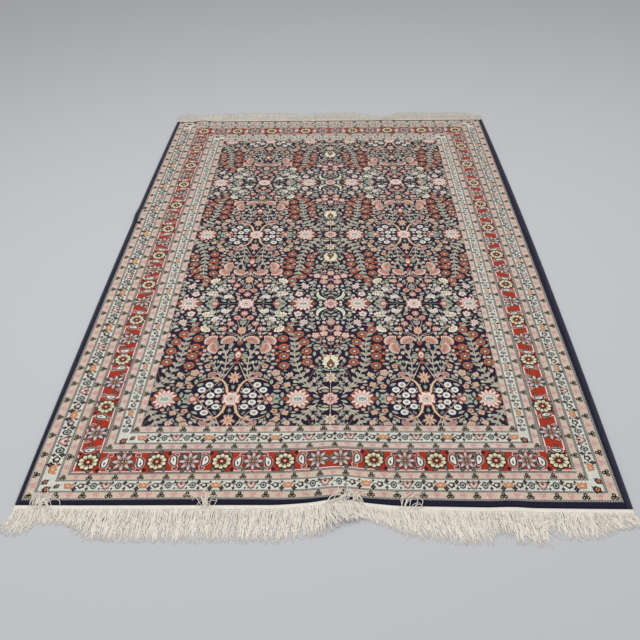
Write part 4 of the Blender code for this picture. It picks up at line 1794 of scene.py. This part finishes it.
def tube(path, radii, sides):
    """Points, faces and UVs of a tube along a path, the UV going once round and once per twist."""
    points, uvs = [], []
    run = 0.0
    for index, centre in enumerate(path):
        before, after = path[max(0, index - 1)], path[min(len(path) - 1, index + 1)]
        ahead = (after - before).normalized()
        across = ahead.cross(Vector((0, 0, 1))).normalized()
        above = across.cross(ahead)
        for k in range(sides):
            angle = math.tau * k / sides
            spoke = across * math.cos(angle) + above * math.sin(angle)
            points.append(centre + spoke * radii[index])
    for start, stop in zip(path, path[1:]):
        step = (stop - start).length
        low, high = run / TWIST_LENGTH, (run + step) / TWIST_LENGTH
        run += step
        for k in range(sides):
            u, next_u = k / sides, (k + 1) / sides
            uvs += [u, low, next_u, low, next_u, high, u, high]
    uvs += [0.0, 0.0] * (2 * sides)
    return points, skin(len(path), sides), uvs


def bundle(name, threads, material, sides=4):
    """One piece of many threads, each a path and its radii."""
    points, faces, uvs = [], [], []
    for path, radii in threads:
        tube_points, tube_faces, tube_uvs = tube(path, radii, sides)
        first = len(points)
        points += tube_points
        faces += [[first + k for k in face] for face in tube_faces]
        uvs += tube_uvs
    return new_piece(name, points, faces, material, uv_name="UVMap", uvs=uvs)


def lay_at(table, x):
    """Length and lean of a fringe string by its root's x."""
    for (x0, length0, lean0), (x1, length1, lean1) in zip(table, table[1:]):
        if x <= x1:
            t = max(0.0, (x - x0) / (x1 - x0))
            return between(length0, length1, t), between(lean0, lean1, t)
    return table[-1][1:]


def pile_end(end, x):
    """y of the near (-1) or far (1) end of the pile."""
    return near_edge(x) if end < 0 else HALF_LENGTH


def strip_edge(end, x):
    """y of the outer edge of the flat-woven strip."""
    return pile_end(end, x) + end * (GAP + STRIP_WIDTH)


# Fringe strings: how far they start inside the strip, the share of their length by which they have
# come down from it, the width of a lock of strings that lean together and how much it leans, the
# length below which they scatter, and how many lie in the upper layer.
STRING_TUCK = 0.006
STRING_RISE = 0.2
LOCK = 0.016
LOCK_LEAN = 0.07
LOCK_STEP = 12.9898
SCATTER_LENGTH = 0.085
UPPER_SHARE = 0.42
FAR_FRINGE_SWELL = 1.6
FRINGE_INSET = 0.004

# What each string draws by chance: shares of the length, of the fringe's depth and of the string's
# width, how far it scatters and curls in radians, and how many waves it has and how strong they
# are. Loose strings are those of a short stretch.
UPPER_LENGTHS = (0.50, 0.95)
LOWER_LENGTHS = (0.82, 1.03)
UPPER_LIFTS = (0.6, 1.3)
LOWER_LIFTS = (0.0, 0.7)
STRING_WIDTHS = (0.75, 1.15)
SCATTER = 0.10
LOOSE_SCATTER = 0.25
UPPER_SCATTER = 0.14
UPPER_CURL = 0.8
LOWER_CURL = 0.3
WAVES = (0.8, 2.2)
SWAYS = (0.10, 0.32)
LOOSE_SWAY = 0.5
THIN_END = 0.85
THIN_SHARE = 0.7


def fringe_string(end, table, x, steps, draw):
    """One string of the fringe: out of the strip, over its neighbours and down to the floor.

    Strings of the upper layer are shorter, start on top of the strip and curl more.
    """
    sizes = bpy.context.scene.rug_sizes
    length, lean = lay_at(table, x)
    lock = math.floor(x / LOCK)
    loose = max(0.0, 1 - length / SCATTER_LENGTH)
    upper = draw.random() < UPPER_SHARE
    length *= draw.uniform(*(UPPER_LENGTHS if upper else LOWER_LENGTHS))
    scatter = draw.gauss(0, SCATTER + LOOSE_SCATTER * loose + (UPPER_SCATTER if upper else 0))
    lean += math.sin(lock * LOCK_STEP) * LOCK_LEAN + scatter
    waves, phase = draw.uniform(*WAVES), draw.uniform(0, math.tau)
    sway = draw.uniform(*SWAYS) + LOOSE_SWAY * loose
    curl_by = draw.gauss(0, UPPER_CURL if upper else LOWER_CURL)
    depth = sizes.fringe_depth * (1 if end < 0 else FAR_FRINGE_SWELL)
    lift = draw.uniform(*(UPPER_LIFTS if upper else LOWER_LIFTS)) * depth
    radius = sizes.string_width / 2 * draw.uniform(*STRING_WIDTHS)
    gather = (lock + 0.5) * LOCK - x
    root = STRIP_THICKNESS if upper else STRIP_THICKNESS / 2
    path, radii = [], []
    step = (length + STRING_TUCK) / steps
    px, py = x, strip_edge(end, x) - end * STRING_TUCK * draw.uniform(0.5, 1.0)
    for index in range(steps + 1):
        t = index / steps
        risen = min(1.0, t / STRING_RISE)
        height = lift * risen * (1 - t) ** 0.9
        start = between(root, 0.0, risen)
        z = radius + height + start + ripple_height(px, py)
        path.append(Vector((px + gather * 0.25 * t, py, z)) + SHIFT)
        radii.append(radius * (1.0 if t < THIN_END else THIN_SHARE))
        wave = sway * math.sin(math.tau * waves * t + phase) * min(1.0, t * 3)
        heading = lean * min(1.0, 0.35 + t) + wave + curl_by * t * t
        px += math.sin(heading) * step
        py += end * math.cos(heading) * step
    return path, radii


def fringe_threads(end, table, spacing, steps, seed):
    """All strings of one fringe, evenly spread but for a little chance."""
    draw = random.Random(seed)
    width = WIDTH - 2 * FRINGE_INSET
    count = int(width / spacing)
    threads = []
    for index in range(count):
        x = -HALF_WIDTH + FRINGE_INSET + (index + draw.uniform(0.2, 0.8)) * width / count
        threads.append(fringe_string(end, table, x, steps, draw))
    return threads


# Fringe strings that have flopped back over the pile: x of the root, end, heading from straight
# inwards in radians, length, number of strings.
FLOPPED = (
    (-0.800, -1, 0.60, 0.070, 16),
    (-0.778, -1, 0.10, 0.060, 12),
    (-0.752, -1, -0.55, 0.050, 8),
    (-0.312, -1, -0.30, 0.066, 9),
    (-0.318, -1, 0.45, 0.052, 9),
    (0.016, -1, 0.95, 0.080, 7),
    (0.050, -1, 0.70, 0.072, 8),
    (0.085, -1, 0.15, 0.056, 8),
    (0.120, -1, -0.70, 0.058, 6),
    (0.230, -1, 0.35, 0.072, 8),
    (0.250, -1, 0.80, 0.048, 5),
    (-0.128, 1, 0.30, 0.050, 8),
)
FLOPPED_STEPS = 12
FLOPPED_WIDTH = 0.85
FLOPPED_TUCK = 0.004
FLOPPED_ARCH = 0.0025
FLOPPED_LENGTHS = (0.7, 1.15)
FLOPPED_CURLS = (0.5, 2.0)
FLOPPED_SCATTER = 0.30
ROOT_SPREAD = 0.008


def flopped_thread(x, end, heading, length, draw):
    """A string lying back over the strip and the pile, with a loose curl."""
    sizes = bpy.context.scene.rug_sizes
    radius = sizes.string_width / 2 * FLOPPED_WIDTH
    px, py = x + draw.gauss(0, ROOT_SPREAD), strip_edge(end, x) - end * FLOPPED_TUCK
    heading += draw.gauss(0, FLOPPED_SCATTER)
    curl_by, phase = draw.uniform(*FLOPPED_CURLS) * draw.choice((-1, 1)), draw.uniform(0, 1)
    length *= draw.uniform(*FLOPPED_LENGTHS)
    path = []
    for index in range(FLOPPED_STEPS + 1):
        t = index / FLOPPED_STEPS
        inside = max(0.0, min(1.0, (py - pile_end(end, px)) * -end / 0.006 + 0.6))
        under = between(STRIP_THICKNESS, sizes.pattern_height, inside)
        arch = FLOPPED_ARCH * math.sin(math.pi * t) * (1 + phase)
        path.append(Vector((px, py, ripple_height(px, py) + under + radius + arch)) + SHIFT)
        angle = heading + curl_by * t * t * 1.6
        px += math.sin(angle) * length / FLOPPED_STEPS
        py -= end * math.cos(angle) * length / FLOPPED_STEPS
    return path, [radius] * len(path)


# The ground of the rug

# The pile slab: its columns and rows, where its rim steps lie, how far the top is down on the
# outer ones, how far it is down under the pattern, and its underside.
GROUND_COLUMNS = 72
GROUND_ROWS = 80
RIM_STEPS = (0.0, 0.0008, 0.0024, 0.005, 0.026, 0.036)
RIM_FALLS = (0.0032, 0.0012, 0.0003, 0.0, 0.0)
UNDER_PATTERN = 0.0012
GROUND_BACK = 0.0002


def edge_steps(count, half):
    """Places from -1 to 1, even ones in the middle and one for each rim step at the ends."""
    ends = [1 - rim / half for rim in RIM_STEPS]
    inner = [between(-ends[-1], ends[-1], k / count) for k in range(1, count)]
    return [-e for e in ends] + inner + ends[::-1]


def edge_falls(count):
    """How far the top is down at each step across or along, None under the pattern."""
    return [*RIM_FALLS, *[None] * (count - 2 * len(RIM_FALLS)), *RIM_FALLS[::-1]]


def ground_mesh():
    """Points and faces of the pile slab, level on top and rounded at its rim, and its back."""
    height = bpy.context.scene.rug_sizes.pile_height
    across = edge_steps(GROUND_COLUMNS, HALF_WIDTH)
    along = edge_steps(GROUND_ROWS, HALF_LENGTH)
    columns, rows = len(across), len(along)
    points = []
    for v, fall_y in zip(along, edge_falls(rows)):
        for u, fall_x in zip(across, edge_falls(columns)):
            falls = [fall for fall in (fall_x, fall_y) if fall is not None]
            points.append(body_point(u, v, height - max(falls, default=UNDER_PATTERN)))
    points += [body_point(u, v, GROUND_BACK) for v in along for u in across]
    under = columns * rows
    faces, backs = [], []
    for j in range(rows - 1):
        for i in range(columns - 1):
            a = j * columns + i
            faces.append([a, a + 1, a + columns + 1, a + columns])
            backs.append([k + under for k in (a, a + columns, a + columns + 1, a + 1)])
    near, far = range(columns), range(under - columns, under)
    left, right = range(0, under, columns), range(columns - 1, under, columns)
    walls = [pair for line in (near, right) for pair in zip(line, line[1:])]
    walls += [(b, a) for line in (far, left) for a, b in zip(line, line[1:])]
    faces += [[b, a, a + under, b + under] for a, b in walls]
    return points, faces, backs


CORD_SIDES = 10
STEPS_PER_WRAP = 3


def wrapped_cord(side):
    """Points and faces of an overcast side: a flat oval cord, ribbed by its slanting wraps."""
    sizes = bpy.context.scene.rug_sizes
    count = int(LENGTH / sizes.wrap_pitch) * STEPS_PER_WRAP
    points = []
    for index in range(count + 1):
        y = between(-HALF_LENGTH, HALF_LENGTH, index / count)
        half = BINDING_WIDTH * binding_scale(side, y) / 2
        middle = outer_edge(side, y) - side * half
        rise = ripple_height(middle, y) + BINDING_HEIGHT / 2
        for k in range(CORD_SIDES):
            angle = math.tau * k / CORD_SIDES
            wrap = math.cos(math.tau * (index / STEPS_PER_WRAP + side * k / CORD_SIDES))
            swell = 1 - sizes.wrap_depth / BINDING_HEIGHT * (1 - wrap)
            x = middle + math.cos(angle) * half * swell
            z = rise + math.sin(angle) * BINDING_HEIGHT / 2 * swell
            points.append(Vector((x, y, z)) + SHIFT)
    return points, skin(count + 1, CORD_SIDES, True)


# The flat-woven strip: its columns and its profile, each point out from the pile and up.
STRIP_COLUMNS = 420
STRIP_PROFILE = (
    (0.0, 0.0), (0.0, 0.0018), (0.0015, 0.0024), (0.008, 0.0025), (0.0145, 0.0023),
    (STRIP_WIDTH, 0.0014), (STRIP_WIDTH, 0.0),
)
STRIP_WAVES = ((0.0006, 1.9), (0.0004, 0.7))


def flat_strip(end):
    """Points and faces of the flat-woven strip between the pile and the fringe of one end."""
    points = []
    for index in range(STRIP_COLUMNS + 1):
        x = between(-HALF_WIDTH, HALF_WIDTH, index / STRIP_COLUMNS)
        wave = sum(depth * math.sin(index * turn) for depth, turn in STRIP_WAVES)
        for out, height in STRIP_PROFILE:
            y = pile_end(end, x) + end * (GAP + out + (wave if out > STRIP_WIDTH / 2 else 0.0))
            points.append(Vector((x, y, ripple_height(x, y) + height)) + SHIFT)
    return points, skin(STRIP_COLUMNS + 1, len(STRIP_PROFILE), end < 0)


# The add-on


def size_property(name, description, default, precision=3):
    """A length in metres that the user may change."""
    return FloatProperty(
        name=name, description=description, default=default, precision=precision, unit="LENGTH",
    )


def dye_property(name, description, value):
    """A yarn's colour from its sRGB value."""
    return FloatVectorProperty(
        name=name, description=description, default=linear(value)[:3], size=3, subtype="COLOR",
        min=0.0, max=1.0,
    )


class RugSizes(bpy.types.PropertyGroup):
    """Sizes that a user would change."""

    pile_height: size_property("Pile height", "Top of the pile above the floor", 0.0068)
    pattern_height: size_property(
        "Pattern height", "Top of the patterned pile above the floor", 0.0071,
    )
    knot_pitch: size_property("Knot pitch", "Distance between two knots", 0.0017, 4)
    bead_pitch: size_property(
        "Bead pitch", "Distance between two light knots of a beaded line", 0.0075,
    )
    wrap_pitch: size_property(
        "Wrap pitch", "Distance between two wraps of the overcast sides", 0.005,
    )
    wrap_depth: size_property("Wrap depth", "Depth of the groove between two wraps", 0.0005, 4)
    string_width: size_property("String width", "Thickness of one fringe string", 0.0020, 4)
    string_spacing: size_property(
        "String spacing", "Distance between two fringe strings", 0.00095, 5,
    )
    fringe_depth: size_property(
        "Fringe depth", "How high the fringe strings lie over each other", 0.0055,
    )
    floor_size: size_property("Floor size", "Width and length of the studio floor", 16.0)


class RugDyes(bpy.types.PropertyGroup):
    """The colours of the pile yarns."""

    __annotations__ = {key: dye_property(*yarn) for key, *yarn in YARNS}


class RUG_OT_ground(bpy.types.Operator):
    """Make the navy ground of the pile, with the woven back under it"""

    bl_idname = "rug.ground"
    bl_label = "Knotted Ground"

    def execute(self, context):
        points, faces, backs = ground_mesh()
        navy = yarn_colours()["navy"]
        pile = finished(sheared_wool_pile)
        dyes = [navy] * (len(faces) + len(backs))
        ground = new_piece("knotted_ground", points, faces + backs, pile, dyes)
        ground.data.materials.append(finished(woven_wool_back))
        indices = [0] * len(faces) + [1] * len(backs)
        ground.data.polygons.foreach_set("material_index", indices)
        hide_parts("rug")
        return {"FINISHED"}


class RUG_OT_field(bpy.types.Operator):
    """Make the flower field, one column of the repeat at a time"""

    bl_idname = "rug.field"
    bl_label = "Flower Field"

    def execute(self, context):
        layers = half_repeat()
        cuts = {}
        for index, column in enumerate(field_columns()):
            parts = field_column_parts(layers, *column, cuts)
            piece = design_piece(f"flower_field_{index + 1}", parts, finished(sheared_wool_pile))
        return {"FINISHED"}


class RUG_OT_borders(bpy.types.Operator):
    """Make the border pile of each side"""

    bl_idname = "rug.borders"
    bl_label = "Borders"

    def execute(self, context):
        layers = borders()
        (low_x, low_y), _, (high_x, high_y), _ = band_outline(1)
        (left, near), _, (right, far), _ = band_outline(len(BANDS))
        for name, box in (
            ("border_left", (low_x, low_y, left, high_y)),
            ("border_right", (right, low_y, high_x, high_y)),
            ("border_near", (left, low_y, right, near)),
            ("border_far", (left, far, right, high_y)),
        ):
            piece = design_piece(name, [cut_design(layers, *box)], finished(sheared_wool_pile))
        return {"FINISHED"}


class RUG_OT_bindings(bpy.types.Operator):
    """Make the two overcast sides"""

    bl_idname = "rug.bindings"
    bl_label = "Overcast Sides"

    def execute(self, context):
        for side, name in ((-1, "left"), (1, "right")):
            yarn = finished(overcast_wool_yarn)
            piece = new_piece(f"overcast_{name}", *wrapped_cord(side), yarn)
            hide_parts(f"binding_{name}")
        return {"FINISHED"}


FRINGE_SEED = 11
FLOPPED_SEED = 23


class RUG_OT_fringes(bpy.types.Operator):
    """Make the flat-woven strips and the fringe strings of both ends"""

    bl_idname = "rug.fringes"
    bl_label = "Strips and Fringes"

    def execute(self, context):
        spacing = context.scene.rug_sizes.string_spacing
        cotton = finished(twisted_cotton_string)
        for end, name, table, share, steps, sides in (
            (-1, "near", NEAR_LAY, 1.0, 8, 4),
            (1, "far", FAR_LAY, 1.1, 5, 3),
        ):
            strip = new_piece(f"woven_strip_{name}", *flat_strip(end), finished(flat_woven_cotton))
            threads = fringe_threads(end, table, spacing * share, steps, FRINGE_SEED + end)
            strings = bundle(f"fringe_strings_{name}", threads, cotton, sides)
            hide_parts(f"fringe_{name}")
            draw = random.Random(FLOPPED_SEED + end)
            stray = []
            for x, at_end, heading, length, count in FLOPPED:
                if at_end == end:
                    stray += [flopped_thread(x, end, heading, length, draw) for _ in range(count)]
            loose = bundle(f"loose_strings_{name}", stray, cotton)
        return {"FINISHED"}


class RUG_OT_sheet(bpy.types.Operator):
    bl_idname = "rug.sheet"
    bl_label = "Declare Cloth"

    def execute(self, context):
        return {"FINISHED"}


# The camera: place, how far it looks down, its turn and its roll, and its lens on a 36 mm sensor.
CAMERA_PLACE = (0.0455, -2.3449, 1.5963)
CAMERA_PITCH = 40.2304
CAMERA_YAW = -1.8849
CAMERA_ROLL = -1.2356
CAMERA_LENS = 38.06
SENSOR = 36.0


# The soft lights: name, place, width and length, power. And the even light from all round.
SOFTBOXES = (
    ("key_softbox", (-0.9, -0.4, 3.4), 2.6, 59.0),
    ("fill_softbox", (2.0, 0.2, 3.2), 3.0, 26.0),
)
STUDIO_LIGHT = "#F6F5F4"
STUDIO_STRENGTH = 0.62


def camera_matrix():
    """The camera's place and aim."""
    pitch, yaw, roll = CAMERA_PITCH * DEG, CAMERA_YAW * DEG, CAMERA_ROLL * DEG
    level = Vector((math.cos(yaw), -math.sin(yaw), 0.0))
    ahead = Vector((math.sin(yaw), math.cos(yaw), 0.0)) * math.cos(pitch)
    ahead.z = -math.sin(pitch)
    above = level.cross(ahead)
    right = level * math.cos(roll) + above * math.sin(roll)
    up = above * math.cos(roll) - level * math.sin(roll)
    turn = Matrix((right, up, -ahead)).transposed().to_4x4()
    return Matrix.Translation(Vector(CAMERA_PLACE) + SHIFT) @ turn


class RUG_OT_stage(bpy.types.Operator):
    """Make the floor, the soft lights and the camera"""

    bl_idname = "rug.stage"
    bl_label = "Studio Stage"

    def execute(self, context):
        scene = context.scene
        half = scene.rug_sizes.floor_size / 2
        mesh = bpy.data.meshes.new("studio_floor")
        corners = ((-half, -half), (half, -half), (half, half), (-half, half))
        mesh.from_pydata([(x, y, 0.0) for x, y in corners], [], [(0, 1, 2, 3)])
        mesh.materials.append(finished(matt_studio_floor))
        floor = bpy.data.objects.new("studio_floor", mesh)
        scene.collection.objects.link(floor)

        world = scene.world or bpy.data.worlds.new("studio")
        scene.world = world
        world.use_nodes = True
        background = world.node_tree.nodes["Background"]
        background.inputs["Color"].default_value = linear(STUDIO_LIGHT)
        background.inputs["Strength"].default_value = STUDIO_STRENGTH

        for name, place, size, power in SOFTBOXES:
            light = bpy.data.lights.new(name, "AREA")
            light.shape = "SQUARE"
            light.size = size
            light.energy = power
            lamp = bpy.data.objects.new(name, light)
            lamp.location = place
            lamp.rotation_euler = (-Vector(place)).to_track_quat("-Z", "Y").to_euler()
            scene.collection.objects.link(lamp)

        lens = bpy.data.cameras.new("studio_camera")
        lens.sensor_width = SENSOR
        lens.lens = CAMERA_LENS
        lens.clip_end = 60.0
        camera = bpy.data.objects.new("studio_camera", lens)
        camera.matrix_world = camera_matrix()
        scene.collection.objects.link(camera)
        scene.camera = camera
        scene.view_settings.view_transform = "Standard"
        return {"FINISHED"}


class RUG_PT_panel(bpy.types.Panel):
    """The rug's operators, sizes and dyes"""

    bl_label = "Turkish Rug"
    bl_idname = "RUG_PT_panel"
    bl_space_type = "VIEW_3D"
    bl_region_type = "UI"
    bl_category = "Rug"

    def draw(self, context):
        column = self.layout.column(align=True)
        for operator in OPERATORS:
            column.operator(operator.bl_idname)
        for group in (context.scene.rug_sizes, context.scene.rug_dyes):
            box = self.layout.box().column()
            for key in group.bl_rna.properties.keys():
                if key not in ("rna_type", "name"):
                    box.prop(group, key)


OPERATORS = (
    RUG_OT_ground, RUG_OT_field, RUG_OT_borders, RUG_OT_bindings, RUG_OT_fringes,
    RUG_OT_sheet, RUG_OT_stage,
)
CLASSES = (RugSizes, RugDyes, *OPERATORS, RUG_PT_panel)


def register():
    """Register the classes and hang the settings on the scene."""
    for cls in CLASSES:
        bpy.utils.register_class(cls)
    bpy.types.Scene.rug_sizes = bpy.props.PointerProperty(type=RugSizes)
    bpy.types.Scene.rug_dyes = bpy.props.PointerProperty(type=RugDyes)


def unregister():
    """Take the settings and the classes away again."""
    del bpy.types.Scene.rug_dyes
    del bpy.types.Scene.rug_sizes
    for cls in reversed(CLASSES):
        bpy.utils.unregister_class(cls)


def main():
    """Build everything in order."""
    register()
    for build in (
        bpy.ops.rug.ground, bpy.ops.rug.field, bpy.ops.rug.borders, bpy.ops.rug.bindings,
        bpy.ops.rug.fringes, bpy.ops.rug.sheet, bpy.ops.rug.stage,
    ):
        build()


if __name__ == "__main__":
    main()
